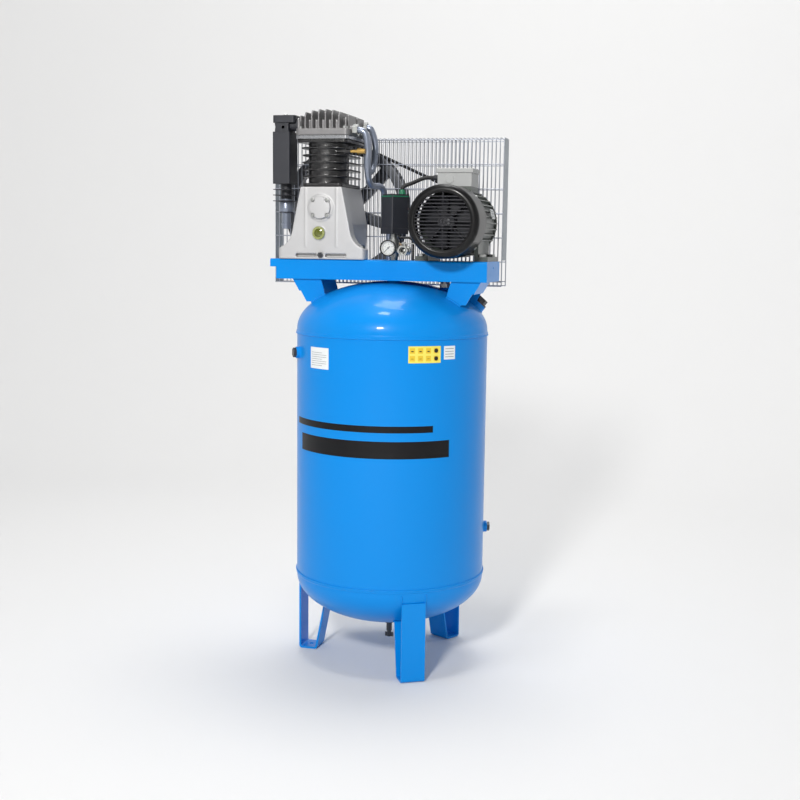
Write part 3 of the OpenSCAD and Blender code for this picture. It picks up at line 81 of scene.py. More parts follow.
def finish(name, color, rough=0.4, metal=0.0, coat=0.0, coat_rough=0.08, spec=0.5,
           vary=0.06, vary_scale=9.0, rough_vary=0.08, bump=0.05, bump_scale=260.0,
           bump_depth=0.0004, edge_wear_and_highlight=None, edge_wear_and_highlight_amount=0.5, edge_wear_and_highlight_scale=90.0, dust=0.0,
           alpha=1.0, stretch=None):
    """A procedural finish: colour patches, uneven gloss, fine relief, worn edges (a painted highlight on the
    cylinder head's fin edges), dust on top.
    """
    m = bpy.data.materials.new(name)
    m.use_nodes = True
    t = m.node_tree
    t.nodes.clear()
    L = t.links.new
    out = node(t, "ShaderNodeOutputMaterial", 900)
    p = node(t, "ShaderNodeBsdfPrincipled", 620)
    L(p.outputs[0], out.inputs[0])
    p.inputs["Metallic"].default_value = metal
    p.inputs["Coat Weight"].default_value = coat
    p.inputs["Coat Roughness"].default_value = coat_rough
    p.inputs["Specular IOR Level"].default_value = spec
    p.inputs["Alpha"].default_value = alpha
    co = node(t, "ShaderNodeTexCoord", -1200)
    where = co.outputs["Object"]
    if stretch:
        mp = node(t, "ShaderNodeMapping", -1020)
        mp.inputs["Scale"].default_value = stretch
        L(where, mp.inputs["Vector"])
        where = mp.outputs[0]
    big = node(t, "ShaderNodeTexNoise", -820, 200, Scale=vary_scale, Detail=5.0, Roughness=0.6)
    L(where, big.inputs["Vector"])
    mix = node(t, "ShaderNodeMix", -420, 240, data_type="RGBA")
    mix.inputs[6].default_value = (*[c * (1 - vary) for c in color], 1)
    mix.inputs[7].default_value = (*[min(1, c * (1 + vary)) for c in color], 1)
    L(big.outputs["Fac"], mix.inputs[0])
    shade = mix.outputs[2]
    rr = node(t, "ShaderNodeMapRange", -420, -60)
    rr.inputs["To Min"].default_value = max(0.02, rough - rough_vary)
    rr.inputs["To Max"].default_value = min(1, rough + rough_vary)
    fine = node(t, "ShaderNodeTexNoise", -820, -120, Scale=vary_scale * 5, Detail=6.0,
                Roughness=0.65)
    L(where, fine.inputs["Vector"])
    L(fine.outputs["Fac"], rr.inputs["Value"])
    gloss = rr.outputs[0]
    # Edge colour on marked faces: wear, and on the cylinder head a painted highlight along the fin edges.
    if edge_wear_and_highlight is not None:
        at = node(t, "ShaderNodeAttribute", -820, 520, attribute_name="edge_wear_and_highlight")
        wn = node(t, "ShaderNodeTexNoise", -820, 420, Scale=edge_wear_and_highlight_scale, Detail=7.0, Roughness=0.7)
        L(where, wn.inputs["Vector"])
        wr = node(t, "ShaderNodeMapRange", -620, 420)
        wr.inputs["From Min"].default_value = 0.62 - 0.3 * edge_wear_and_highlight_amount
        wr.inputs["From Max"].default_value = 0.74 - 0.3 * edge_wear_and_highlight_amount
        L(wn.outputs["Fac"], wr.inputs["Value"])
        mu = node(t, "ShaderNodeMath", -460, 460, operation="MULTIPLY")
        L(at.outputs["Fac"], mu.inputs[0])
        L(wr.outputs[0], mu.inputs[1])
        wm = node(t, "ShaderNodeMix", -220, 300, data_type="RGBA")
        L(mu.outputs[0], wm.inputs[0])
        L(shade, wm.inputs[6])
        wm.inputs[7].default_value = (*edge_wear_and_highlight, 1)
        shade = wm.outputs[2]
    if dust:
        ge = node(t, "ShaderNodeNewGeometry", -820, 760)
        sx = node(t, "ShaderNodeSeparateXYZ", -640, 760)
        L(ge.outputs["Normal"], sx.inputs[0])
        dn = node(t, "ShaderNodeTexNoise", -820, 620, Scale=38.0, Detail=6.0, Roughness=0.7)
        L(where, dn.inputs["Vector"])
        du = node(t, "ShaderNodeMath", -460, 720, operation="MULTIPLY", use_clamp=True)
        L(sx.outputs["Z"], du.inputs[0])
        L(dn.outputs["Fac"], du.inputs[1])
        dv = node(t, "ShaderNodeMath", -300, 720, operation="MULTIPLY", use_clamp=True)
        L(du.outputs[0], dv.inputs[0])
        dv.inputs[1].default_value = dust
        dm = node(t, "ShaderNodeMix", -40, 360, data_type="RGBA")
        L(dv.outputs[0], dm.inputs[0])
        L(shade, dm.inputs[6])
        dm.inputs[7].default_value = (0.36, 0.35, 0.33, 1)
        shade = dm.outputs[2]
        dr = node(t, "ShaderNodeMath", -40, 40, operation="ADD", use_clamp=True)
        L(dv.outputs[0], dr.inputs[0])
        L(gloss, dr.inputs[1])
        gloss = dr.outputs[0]
    L(shade, p.inputs["Base Color"])
    L(gloss, p.inputs["Roughness"])
    bn = node(t, "ShaderNodeTexNoise", -420, -320, Scale=bump_scale, Detail=4.0, Roughness=0.55)
    L(where, bn.inputs["Vector"])
    bu = node(t, "ShaderNodeBump", 300, -300)
    bu.inputs["Strength"].default_value = min(1.0, bump * 4)
    bu.inputs["Distance"].default_value = bump_depth
    L(bn.outputs["Fac"], bu.inputs["Height"])
    L(bu.outputs[0], p.inputs["Normal"])
    return m


BLUE = finish("receiver_blue", srgb(0, 136, 222), 0.34, coat=0.22, coat_rough=0.04, spec=0.12,
              vary=0.03, vary_scale=3, rough_vary=0.05, bump=0.1, bump_scale=150,
              bump_depth=0.00025, edge_wear_and_highlight=srgb(20, 150, 232), edge_wear_and_highlight_amount=0.3, dust=0.03)
SILVER = finish("cast_silver_paint", srgb(190, 190, 191), 0.46, metal=0.3, coat=0.05, vary=0.08,
                vary_scale=14, bump=0.22, bump_scale=520, bump_depth=0.0005,
                edge_wear_and_highlight=srgb(150, 150, 152), edge_wear_and_highlight_amount=0.5, dust=0.12)
# The head's darker base is partly painted shade on the fin sides; its pale edge colour is a painted highlight on
# the fin edges, partly wear.
SILVER_DARK = finish("cast_silver_head", srgb(128, 127, 128), 0.42, metal=0.5, vary=0.14,
                     vary_scale=18, bump=0.25, bump_scale=520, bump_depth=0.0005,
                     edge_wear_and_highlight=srgb(226, 226, 228), edge_wear_and_highlight_amount=1.1, dust=0.12)
BLACK_CAST = finish("cast_black_paint", srgb(20, 20, 22), 0.3, coat=0.4, vary=0.2, vary_scale=16,
                    bump=0.25, bump_scale=480, bump_depth=0.0006, edge_wear_and_highlight=srgb(60, 60, 62),
                    edge_wear_and_highlight_amount=0.35, dust=0.06)
GLOSS_BLACK = finish("cowl_gloss_black", srgb(8, 8, 10), 0.36, coat=0.14, coat_rough=0.1,
                     spec=0.25, vary=0.2, rough_vary=0.05, bump=0.08, bump_scale=170,
                     bump_depth=0.0002, dust=0.02)
LOUVRE = finish("cowl_louvre", srgb(34, 34, 40), 0.34, coat=0.3, vary=0.15, bump=0.1,
                bump_scale=300, bump_depth=0.0002)
# A near-black matte sheet inside the cowl: painted shade for its hollow interior.
COWL_SHADE_SHEET = finish("cowl_painted_shade_sheet", srgb(9, 9, 10), 0.9, spec=0.05, vary=0.2, vary_scale=40, bump=0.3,
                bump_scale=700)
DARK_STEEL = finish("dark_steel", srgb(74, 76, 80), 0.38, metal=0.8, vary=0.15, vary_scale=60,
                    bump=0.2, bump_scale=600, bump_depth=0.0002, edge_wear_and_highlight=srgb(130, 130, 130),
                    dust=0.1)
DARK_PLASTIC = finish("dark_plastic", srgb(40, 42, 49), 0.5, vary=0.08, vary_scale=12, bump=0.3,
                      bump_scale=900, bump_depth=0.0002, edge_wear_and_highlight=srgb(78, 80, 86), edge_wear_and_highlight_amount=0.3,
                      dust=0.08)
STEEL = finish("machined_steel", srgb(176, 178, 182), 0.28, metal=1.0, vary=0.05, vary_scale=40,
               bump=0.15, bump_scale=700, bump_depth=0.0001, edge_wear_and_highlight=srgb(210, 210, 212))
ZINC = finish("zinc_steel", srgb(178, 180, 178), 0.33, metal=0.9, vary=0.12, vary_scale=60,
              bump=0.2, bump_scale=600, bump_depth=0.0002, edge_wear_and_highlight=srgb(120, 118, 112), dust=0.1)
PIPE = finish("pipe_grey", srgb(134, 142, 158), 0.3, metal=0.55, coat=0.4, vary=0.08,
              vary_scale=18, bump=0.1, bump_scale=400, bump_depth=0.0002, dust=0.1)
BRASS = finish("brass", srgb(196, 160, 92), 0.32, metal=0.95, vary=0.12, vary_scale=70,
               bump=0.2, bump_scale=500, bump_depth=0.0002, edge_wear_and_highlight=srgb(226, 196, 130))
RUBBER = finish("rubber", srgb(24, 24, 26), 0.62, vary=0.15, vary_scale=40, bump=0.35,
                bump_scale=800, bump_depth=0.0003, dust=0.1)
GASKET = finish("gasket_paper", srgb(46, 42, 38), 0.85, vary=0.2, vary_scale=60, bump=0.3,
                bump_scale=900)
MOTOR = finish("motor_paint", srgb(74, 80, 76), 0.4, metal=0.1, coat=0.2, vary=0.08, vary_scale=16,
               bump=0.25, bump_scale=500, bump_depth=0.0004, edge_wear_and_highlight=srgb(140, 144, 140),
               edge_wear_and_highlight_amount=0.45, dust=0.15)
BOX_GREY = finish("terminal_box_grey", srgb(172, 174, 174), 0.45, vary=0.05, vary_scale=14,
                  bump=0.2, bump_scale=600, bump_depth=0.0002, edge_wear_and_highlight=srgb(200, 200, 200), dust=0.12)
WHEEL = finish("flywheel_paint", srgb(72, 74, 78), 0.4, metal=0.4, vary=0.12, vary_scale=14,
               bump=0.3, bump_scale=420, bump_depth=0.0005, edge_wear_and_highlight=srgb(140, 142, 144), dust=0.1)
WIRE = finish("guard_wire", srgb(168, 172, 182), 0.32, metal=0.6, coat=0.2, vary=0.06,
              vary_scale=30, bump=0.1, bump_scale=500, bump_depth=0.0002)
STRIP = finish("guard_strip", srgb(112, 124, 134), 0.38, metal=0.4, coat=0.2, vary=0.05,
               vary_scale=12, bump=0.12, bump_scale=400, bump_depth=0.0002, dust=0.06,
               edge_wear_and_highlight=srgb(170, 178, 184))
RED = finish("red_plastic", srgb(176, 34, 24), 0.35, coat=0.3, vary=0.06, vary_scale=40,
             bump=0.15, bump_scale=900, bump_depth=0.0001, edge_wear_and_highlight=srgb(210, 80, 70))
WHITE = finish("dial_white", srgb(236, 236, 232), 0.5, vary=0.02, vary_scale=60, bump=0.05,
               bump_scale=900)
INK = finish("dial_black", srgb(16, 16, 16), 0.5, vary=0.1, vary_scale=60, bump=0.05)
OIL = finish("sight_glass_oil", srgb(92, 98, 26), 0.08, coat=1.0, coat_rough=0.02, vary=0.35,
             vary_scale=60, rough_vary=0.03, bump=0.05, bump_scale=200)
BEZEL = finish("sight_glass_ring", srgb(142, 148, 84), 0.35, coat=0.4, vary=0.08, vary_scale=60,
               bump=0.1, bump_scale=600, edge_wear_and_highlight=srgb(214, 218, 150))
PAPER = finish("filter_paper", srgb(214, 200, 160), 0.9, vary=0.08, vary_scale=50, bump=0.4,
               bump_scale=700)
COPPER = finish("varnished_copper", srgb(150, 84, 44), 0.4, metal=0.7, vary=0.2, vary_scale=50,
                bump=0.5, bump_scale=300, stretch=(1, 4, 1))
YELLOW = finish("label_yellow", srgb(240, 226, 96), 0.35, coat=0.5, vary=0.03, vary_scale=40,
                bump=0.04, bump_scale=300, dust=0.04)
LABEL_WHITE = finish("label_white", srgb(232, 236, 238), 0.35, coat=0.5, vary=0.02, vary_scale=40,
                     bump=0.04, bump_scale=300, dust=0.04)
LABEL_INK = finish("label_grey", srgb(120, 128, 134), 0.45, vary=0.05, vary_scale=60, bump=0.02)
OCHRE = finish("label_ochre", srgb(228, 192, 44), 0.4, coat=0.4, vary=0.08, vary_scale=60,
               bump=0.04, bump_scale=300)
BLACK_FILM = finish("black_film", srgb(12, 12, 16), 0.4, coat=0.15, spec=0.2, vary=0.1,
                    vary_scale=8, bump=0.04, bump_scale=150, bump_depth=0.0001)
PLATE = finish("data_plate", srgb(186, 190, 192), 0.35, metal=0.85, vary=0.05, vary_scale=60,
               bump=0.15, bump_scale=800, bump_depth=0.0001, stretch=(1, 1, 12))
CLEAR = finish("gauge_glass", (0.92, 0.96, 0.97), 0.05, rough_vary=0.02, vary=0.01, bump=0.01,
               alpha=0.16, coat=1.0)
GREEN = finish("gland_green", srgb(28, 120, 84), 0.42, coat=0.3, vary=0.1, vary_scale=50,
               bump=0.2, bump_scale=700, bump_depth=0.0002, edge_wear_and_highlight=srgb(80, 160, 128))


# ---------- mesh building ----------

def link(name, me):
    ob = bpy.data.objects.new(name, me)
    bpy.context.scene.collection.objects.link(ob)
    return ob


def settle(ob, material, body, replaces=(), smooth=38, weighted=True):
    """Gives a piece its finish, shading and body."""
    ob.data.materials.clear()
    ob.data.materials.append(material)
    ob.data.polygons.foreach_set("use_smooth", [True] * len(ob.data.polygons))
    ob.data.set_sharp_from_angle(angle=math.radians(smooth))
    if weighted:
        w = ob.modifiers.new("weighted", "WEIGHTED_NORMAL")
        w.keep_sharp = True
        w.weight = 60
    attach(ob, body)
    if replaces:
        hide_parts(*replaces)


class Build:
    """Collects shells in millimetres, then makes one piece of them."""

    def __init__(self):
        self.v, self.f = [], []

    def add(self, verts, faces, at=None):
        n = len(self.v)
        if at is not None:
            verts = [at @ Vector(p) for p in verts]
        self.v += [tuple(p) for p in verts]
        self.f += [[n + i for i in f] for f in faces]

    def tube(self, path, r, sides=16, closed=False, ripple=0.0, wave=3.0):
        """A round bar along a path, with ripples of a given wave length if it is a weld."""
        pts = [Vector(p) for p in path]
        n = len(pts)
        tan = []
        for i in range(n):
            a = pts[i - 1] if i or closed else pts[0]
            b = pts[(i + 1) % n] if i < n - 1 or closed else pts[-1]
            tan.append((b - a).normalized())
        up = tan[0].orthogonal().normalized()
        verts, run = [], 0.0
        for i in range(n):
            up = (up - up.dot(tan[i]) * tan[i]).normalized()
            side = tan[i].cross(up)
            if i:
                run += (pts[i] - pts[i - 1]).length
            rr = r * (1 + ripple * abs(math.sin(run / wave * math.pi)))
            for k in range(sides):
                a = 2 * math.pi * k / sides
                verts.append(pts[i] + rr * (math.cos(a) * up + math.sin(a) * side))
        faces = []
        for i in range(n if closed else n - 1):
            j = (i + 1) % n
            for k in range(sides):
                m = (k + 1) % sides
                faces.append([i * sides + k, i * sides + m, j * sides + m, j * sides + k])
        if not closed:
            faces.append([k for k in range(sides - 1, -1, -1)])
            faces.append([(n - 1) * sides + k for k in range(sides)])
        self.add(verts, faces)

    def lathe(self, profile, at=None, segs=64, phase=0.0):
        """Profile points are radius and height about the local Z axis."""
        verts, faces, rows = [], [], []
        for r, z in profile:
            if r < 1e-6:
                rows.append([len(verts)])
                verts.append((0, 0, z))
                continue
            rows.append([])
            for k in range(segs):
                a = 2 * math.pi * k / segs + phase
                rows[-1].append(len(verts))
                verts.append((r * math.cos(a), r * math.sin(a), z))
        for a, b in zip(rows, rows[1:]):
            if len(a) == 1 and len(b) == 1:
                continue
            for k in range(segs):
                m = (k + 1) % segs
                if len(a) == 1:
                    faces.append([a[0], b[k], b[m]][::-1])
                elif len(b) == 1:
                    faces.append([a[k], a[m], b[0]])
                else:
                    faces.append([a[k], a[m], b[m], b[k]])
        self.add(verts, faces, at)

    def prism(self, outline, h, at=None, chamfer=0.6):
        """An outline given height, with its edges chamfered at both ends."""
        pts = [Vector((p[0], p[1])) for p in outline]
        n = len(pts)
        mid = sum(pts, Vector((0, 0))) / n
        inset = []
        for i in range(n):
            a, b, c = pts[i - 1], pts[i], pts[(i + 1) % n]
            u, w = (b - a).normalized(), (c - b).normalized()
            nor = Vector((-(u.y + w.y), u.x + w.x))
            nor = nor.normalized() if nor.length > 1e-6 else Vector((-u.y, u.x))
            if nor.dot(mid - b) < 0 and n < 7:
                nor = -nor
            inset.append(b + nor * chamfer)
        rings = [(inset, 0), (pts, chamfer), (pts, h - chamfer), (inset, h)]
        verts = [(p.x, p.y, z) for ring, z in rings for p in ring]
        faces = [[k for k in range(n - 1, -1, -1)], [3 * n + k for k in range(n)]]
        for j in range(3):
            for k in range(n):
                m = (k + 1) % n
                faces.append([j * n + k, j * n + m, (j + 1) * n + m, (j + 1) * n + k])
        self.add(verts, faces, at)

    def block(self, lo, hi, chamfer=0.6, at=None):
        w, d, h = (hi[i] - lo[i] for i in range(3))
        here = Matrix.Translation(lo)
        self.prism([(0, 0), (w, 0), (w, d), (0, d)], h, here if at is None else at @ here,
                   chamfer)

    def bolt(self, at, across=17, h=8, washer=0.0, hexagon=True):
        """A hexagon head with a turned-down crown and a dished washer."""
        r = across / 2 / math.cos(math.pi / 6)
        z = 0.0
        if washer:
            t = across * 0.12
            self.lathe([(0, 0), (washer - 0.4, 0), (washer, 0.4), (washer, t - 0.4),
                        (washer - 0.5, t), (0, t)], at, 40)
            z = t
        if hexagon:
            prof = [(0, z), (r * 0.93, z), (r, z + 0.6), (r, z + h * 0.86), (r * 0.9, z + h),
                    (r * 0.5, z + h), (r * 0.46, z + h - 0.5), (0, z + h - 0.6)]
            self.lathe(prof, at, 6, phase=random.random())
        else:
            prof = [(0, z), (r, z), (r, z + h * 0.5), (r * 0.9, z + h * 0.82), (r * 0.6, z + h),
                    (r * 0.34, z + h), (r * 0.34, z + h * 0.4), (0, z + h * 0.4)]
            self.lathe(prof, at, 24)

    def piece(self, name, material, body=ROOT, slot="zinc_steel", replaces=(), smooth=38,
              weighted=True):
        me = bpy.data.meshes.new(name)
        me.from_pydata([(x * MM, y * MM, z * MM) for x, y, z in self.v], [], self.f)
        me.validate()
        bm = bmesh.new()
        bm.from_mesh(me)
        bmesh.ops.recalc_face_normals(bm, faces=bm.faces)
        bm.to_mesh(me)
        bm.free()
        me.attributes.new("edge_wear_and_highlight", "FLOAT", "FACE")
        settle(link(name, me), material, body, replaces, smooth, weighted)


def turn(axis, deg):
    return Matrix.Rotation(math.radians(deg), 4, axis)


def place(x, y, z):
    return Matrix.Translation((x, y, z))


def facing(x, y, z, direction):
    """A frame at a point whose local Z looks along a direction."""
    q = Vector(direction).to_track_quat("Z", "Y")
    return Matrix.Translation((x, y, z)) @ q.to_matrix().to_4x4()


def soften(cad, material, width=0.8, segments=2, angle=28, merge=0.8):
    """A copy of a CAD node with its edges rounded; the rounded faces can show wear."""
    ob = link(cad + "_fine", nodes[cad].data.copy())
    me = ob.data
    bm = bmesh.new()
    bm.from_mesh(me)
    bmesh.ops.remove_doubles(bm, verts=bm.verts, dist=2e-6)
    bmesh.ops.dissolve_limit(bm, angle_limit=math.radians(merge), verts=bm.verts, edges=bm.edges)
    layer = bm.faces.layers.float.new("edge_wear_and_highlight")
    sharp = [e for e in bm.edges if e.is_manifold and e.calc_face_angle(0) > math.radians(angle)
             and e.calc_length() > 1e-5]
    made = bmesh.ops.bevel(bm, geom=sharp, offset=width * MM, offset_type="OFFSET",
                           segments=segments, profile=0.5, affect="EDGES", clamp_overlap=True,
                           loop_slide=True)
    for f in made["faces"]:
        f[layer] = 1.0
    bmesh.ops.triangulate(bm, faces=[f for f in bm.faces if len(f.verts) > 4])
    bm.to_mesh(me)
    bm.free()
    settle(ob, material, body_of[cad], (cad,), smooth=50)


def cast(cad, material, voxel=1.6, smooth=6, keep=0.3, crease=55):
    """A copy of a CAD node with the rounded edges and fillets of a casting."""
    src = link("tmp_" + cad, nodes[cad].data.copy())
    bm = bmesh.new()
    bm.from_mesh(src.data)
    bmesh.ops.remove_doubles(bm, verts=bm.verts, dist=2e-6)
    bm.to_mesh(src.data)
    bm.free()
    r = src.modifiers.new("remesh", "REMESH")
    r.mode, r.voxel_size, r.use_smooth_shade = "VOXEL", voxel * MM, True
    s = src.modifiers.new("smooth", "SMOOTH")
    s.factor, s.iterations = 0.5, smooth
    d = src.modifiers.new("thin", "DECIMATE")
    d.ratio = keep
    me = bpy.data.meshes.new_from_object(src.evaluated_get(
        bpy.context.evaluated_depsgraph_get()))
    bpy.data.objects.remove(src)
    me.name = cad + "_cast"
    ob = link(cad + "_cast", me)
    mark_edges(me)
    settle(ob, material, body_of[cad], (cad,), smooth=crease, weighted=False)


def mark_edges(me):
    """Marks how convex a dense mesh is at each face, for edge wear; on the cylinder head the mark carries a
    painted highlight on the fin edges.
    """
    bm = bmesh.new()
    bm.from_mesh(me)
    bm.normal_update()
    value = {}
    for v in bm.verts:
        bend = 0.0
        for e in v.link_edges:
            o = e.other_vert(v)
            d = (o.co - v.co)
            bend -= v.normal.dot(d.normalized()) if d.length else 0
        value[v.index] = bend / max(1, len(v.link_edges))
    layer = bm.faces.layers.float.get("edge_wear_and_highlight") or bm.faces.layers.float.new("edge_wear_and_highlight")
    for f in bm.faces:
        c = sum(value[v.index] for v in f.verts) / len(f.verts)
        f[layer] = min(1.0, max(0.0, (c - 0.12) * 5))
    bm.to_mesh(me)
    bm.free()


def smooth_route(points, n):
    """A smooth curve through route points, n steps to a stretch."""
    p = [Vector(q) for q in points]
    out = []
    for i in range(len(p) - 1):
        a, b, c, d = p[max(i - 1, 0)], p[i], p[i + 1], p[min(i + 2, len(p) - 1)]
        for k in range(n):
            t = k / n
            out.append((2 * b + (c - a) * t + (2 * a - 5 * b + 4 * c - d) * t * t
                        + (3 * b - a - 3 * c + d) * t ** 3) / 2)
    return out + [p[-1]]


# ---------- places read from the frame ----------

joints = {j["name"]: j for j in frame["joints"]}
crank = Vector(joints["crank_spin"]["pos_m"]) / MM
shaft = Vector(joints["motor_spin"]["pos_m"]) / MM
shell_lo, shell_hi = box_mm("tank_shell")
TANK_R = round(-shell_lo.x, 1)
SEAM_LOW, SEAM_HIGH = shell_lo.z, shell_hi.z
FLANGE, RISE, LIP = 12.0, 150.0, 2.2
wheel_hi = box_mm("flywheel")[1]
pulley_lo, pulley_hi = box_mm("motor_pulley")
guard_lo, guard_hi = box_mm("guard_mesh")


def dome_z(x, y):
    """Height of the receiver's top end at a place."""
    return SEAM_HIGH + FLANGE + RISE * math.sqrt(max(0.0, 1 - (x * x + y * y) / TANK_R ** 2))


def base_z(r):
    """Height of the receiver's bottom end at a radius."""
    return SEAM_LOW - FLANGE - RISE * math.sqrt(max(0, 1 - (r / TANK_R) ** 2))


# ---------- receiver ----------

def receiver():
    b = Build()
    n = 48
    up = [(TANK_R * math.cos(math.pi / 2 * i / n), RISE * math.sin(math.pi / 2 * i / n))
          for i in range(n)] + [(0, RISE)]
    low = [(r, SEAM_LOW - FLANGE - z) for r, z in reversed(up)]
    lip = [(0.6, 0), (LIP, 1.2), (LIP, 6), (0.5, 8), (0, 9.5)]
    low += [(TANK_R + d, SEAM_LOW - z) for d, z in reversed(lip)]
    high = [(TANK_R + d, SEAM_HIGH + z) for d, z in lip]
    high += [(r, SEAM_HIGH + FLANGE + z) for r, z in up]
    wall = [(TANK_R, SEAM_LOW + 0.8 + (SEAM_HIGH - SEAM_LOW - 1.6) * i / 20) for i in range(21)]
    b.lathe(low + wall + high, segs=224)
    ring = [(15, 0), (17.4, 0), (18, -0.8), (18, -14), (22, -19), (15, -19)]
    for node_name, x, y in (("riser", *riser_xy), ("check", *check_xy)):
        top = {"riser": riser_top, "check": check_top}[node_name]
        b.lathe([(12, top - 12)] + [(r, top + z) for r, z in ring[:4]]
                + [(18, dome_z(x, y) + 5), (23, dome_z(x, y) - 2), (12, dome_z(x, y) - 6),
                   (12, top - 12)], place(x, y, 0), 40)
    b.lathe([(12, drain_top + 12), (12, drain_top), (17.2, drain_top), (18, drain_top + 0.8),
             (18, drain_top + 9), (23, drain_top + 14), (12, drain_top + 16)], segs=40)
    at = port_frame()
    b.lathe([(19.5, 5), (19.5, 15.4), (26.2, 16), (27, 15.2), (27, 4), (33, -6), (19.5, -6),
             (19.5, 5)], at, 56)
    for az, z in side_ports:
        f = turn("Z", az) @ place(TANK_R, 0, z) @ turn("Y", 90)
        b.lathe([(12.4, 6), (12.4, 12), (17.3, 12), (18, 11.2), (18, 3), (22.5, -1.5), (12.4, -3),
                 (12.4, 6)], f, 40)
    b.piece("receiver_skin", BLUE, slot="receiver_paint",
            replaces=("tank_shell", "tank_top_head", "tank_bottom_head"), smooth=30,
            weighted=False)


# places of the welded sockets, read from the pieces that stand in them
man_lo, man_hi = box_mm("manifold")
riser_xy = (man_lo.x + 17.0, man_hi.y - 30.0)
riser_top = man_lo.z + 9
cv_lo, cv_hi = box_mm("check_valve")
check_xy = (cv_hi.x - 16 / math.cos(math.pi / 6), (cv_lo.y + cv_hi.y) / 2)
check_top = cv_lo.z + 12
drain_top = box_mm("tank_bottom_head")[0].z
side_ports = [(-147, 991), (17, 425)]
PORT_AZ, PORT_R, PORT_TILT = 18.0, 262.0, 41.8


def port_frame():
    return (turn("Z", PORT_AZ) @ place(PORT_R, 0, dome_z(PORT_R, 0)) @ turn("Y", PORT_TILT))


def weld_beads():
    b = Build()
    n = 1500
    for z in (SEAM_HIGH - 0.9, SEAM_LOW + 0.9):
        r = TANK_R + 0.7
        ring = [(r * math.cos(2 * math.pi * i / n), r * math.sin(2 * math.pi * i / n), z)
                for i in range(n)]
        b.tube(ring, 2.3, 8, closed=True, ripple=0.28, wave=6.2)
    # saddle webs on the dome
    for sx in (-1, 1):
        for y in (-92.2, -84.8, 43.0, 50.2):
            path = [(sx * (193 + i), y, dome_z(193 + i, y) + 0.6) for i in range(0, 46)]
            b.tube(path, 2.6, 8, ripple=0.35, wave=5.0)
    # leg strips: both long edges and the bent foot of each, and its inner end
    half, inner = 38.0, 203
    for az in (180, -60, 60):
        f = turn("Z", az)
        for edge in (-half, half):
            path = []
            for i in range(40):
                run_in = 7 * (i / 39) ** 1.3
                r = 298.6 - run_in
                if math.hypot(r, edge) >= TANK_R:
                    r = math.sqrt(TANK_R ** 2 - edge ** 2) - 0.1 - run_in
                path.append(f @ Vector((r, edge, base_z(math.hypot(r, edge)) - 0.6)))
            b.tube(path, 2.4, 8, ripple=0.35, wave=5.0)
            path = []
            for i in range(30):
                r = 202 + i * 0.36
                path.append(f @ Vector((r, edge, base_z(math.hypot(r, edge)) - 0.6)))
            b.tube(path, 2.4, 8, ripple=0.35, wave=5.0)
        path = [f @ Vector((inner, y, base_z(math.hypot(inner, y)) - 0.8))
                for y in range(-38, 38)]
        b.tube(path, 2.4, 8, ripple=0.35, wave=5.0)
    b.piece("weld_beads", BLUE, slot="receiver_paint", smooth=60, weighted=False)


def curved_patch(b, az0, az1, z0, z1, r0, r1, n=24):
    """A thin film that lies on the receiver's shell."""
    verts, faces = [], []
    for r in (r0, r1):
        for z in (z0, z1):
            for i in range(n + 1):
                a = math.radians(az0 + (az1 - az0) * i / n)
                verts.append((r * math.cos(a), r * math.sin(a), z))
    m = n + 1
    for i in range(n):
        faces.append([i, i + 1, m + i + 1, m + i][::-1])
        faces.append([2 * m + i, 2 * m + i + 1, 3 * m + i + 1, 3 * m + i])
        faces.append([i, i + 1, 2 * m + i + 1, 2 * m + i])
        faces.append([m + i, m + i + 1, 3 * m + i + 1, 3 * m + i][::-1])
    faces.append([0, m, 3 * m, 2 * m])
    faces.append([n, m + n, 3 * m + n, 2 * m + n][::-1])
    b.add(verts, faces)


def film(b, name, material, slot):
    b.piece(name, material, slot=slot, smooth=30, weighted=False)


def labels():
    """Two plain stripes, and labels whose fields and marks say nothing."""
    skin = TANK_R + 0.05
    b = Build()
    curved_patch(b, -148, -50, 772, 792, skin, skin + 0.3, 64)
    curved_patch(b, -141, -39, 694, 746, skin, skin + 0.3, 64)
    film(b, "side_stripes", BLACK_FILM, "gloss_black")
    b = Build()
    curved_patch(b, -65.3, -45.8, 980, 1030, skin, skin + 0.3, 16)
    film(b, "yellow_label", YELLOW, "bezel")
    b = Build()
    curved_patch(b, -129.4, -113.6, 952, 1016, skin, skin + 0.4, 16)
    curved_patch(b, -43.6, -35.8, 989, 1029, skin, skin + 0.3, 10)
    film(b, "white_labels", LABEL_WHITE, "grey_plastic")
    b = Build()
    for k in range(7):
        z = 1000 - k * 6.4
        curved_patch(b, -128.2, -128.2 + (13 if k % 3 else 9.5), z, z + 1.1, skin + 0.4,
                     skin + 0.6, 10)
    for k in range(4):
        z = 1020 - k * 8
        curved_patch(b, -42.8, -36.8, z, z + 1.8, skin + 0.25, skin + 0.5, 6)
    film(b, "label_fields", LABEL_INK, "grey_plastic")
    b, marks = Build(), Build()
    for i in range(4):
        for k in range(2):
            az, z = -63.0 + i * 4.75, 993.5 + k * 23
            curved_patch(b, az - 1.5, az + 1.5, z - 8, z + 8, skin + 0.25, skin + 0.4, 5)
            if i == 3:
                round_patch(marks, az, z, 6.5, skin + 0.3, skin + 0.55)
            else:
                curved_patch(marks, az - 0.7, az + 0.7, z - 1.5 - 2 * k, z - 0.3, skin + 0.3,
                             skin + 0.5, 3)
    film(b, "label_fields_ochre", OCHRE, "bezel")
    film(marks, "label_marks", INK, "gauge_black")


def round_patch(b, az, z, r, r0, r1, n=20):
    """A round film on the receiver's shell, its middle at an azimuth and a height."""
    rings = [[], []]
    verts = []
    for k, rad in enumerate((r0, r1)):
        for i in range(n):
            t = 2 * math.pi * i / n
            a = math.radians(az) + r * math.cos(t) / rad
            rings[k].append(len(verts))
            verts.append((rad * math.cos(a), rad * math.sin(a), z + r * math.sin(t)))
    faces = [rings[0][::-1], rings[1]]
    faces += [[rings[0][i], rings[0][(i + 1) % n], rings[1][(i + 1) % n], rings[1][i]]
              for i in range(n)]
    b.add(verts, faces)


# ---------- belt guard ----------

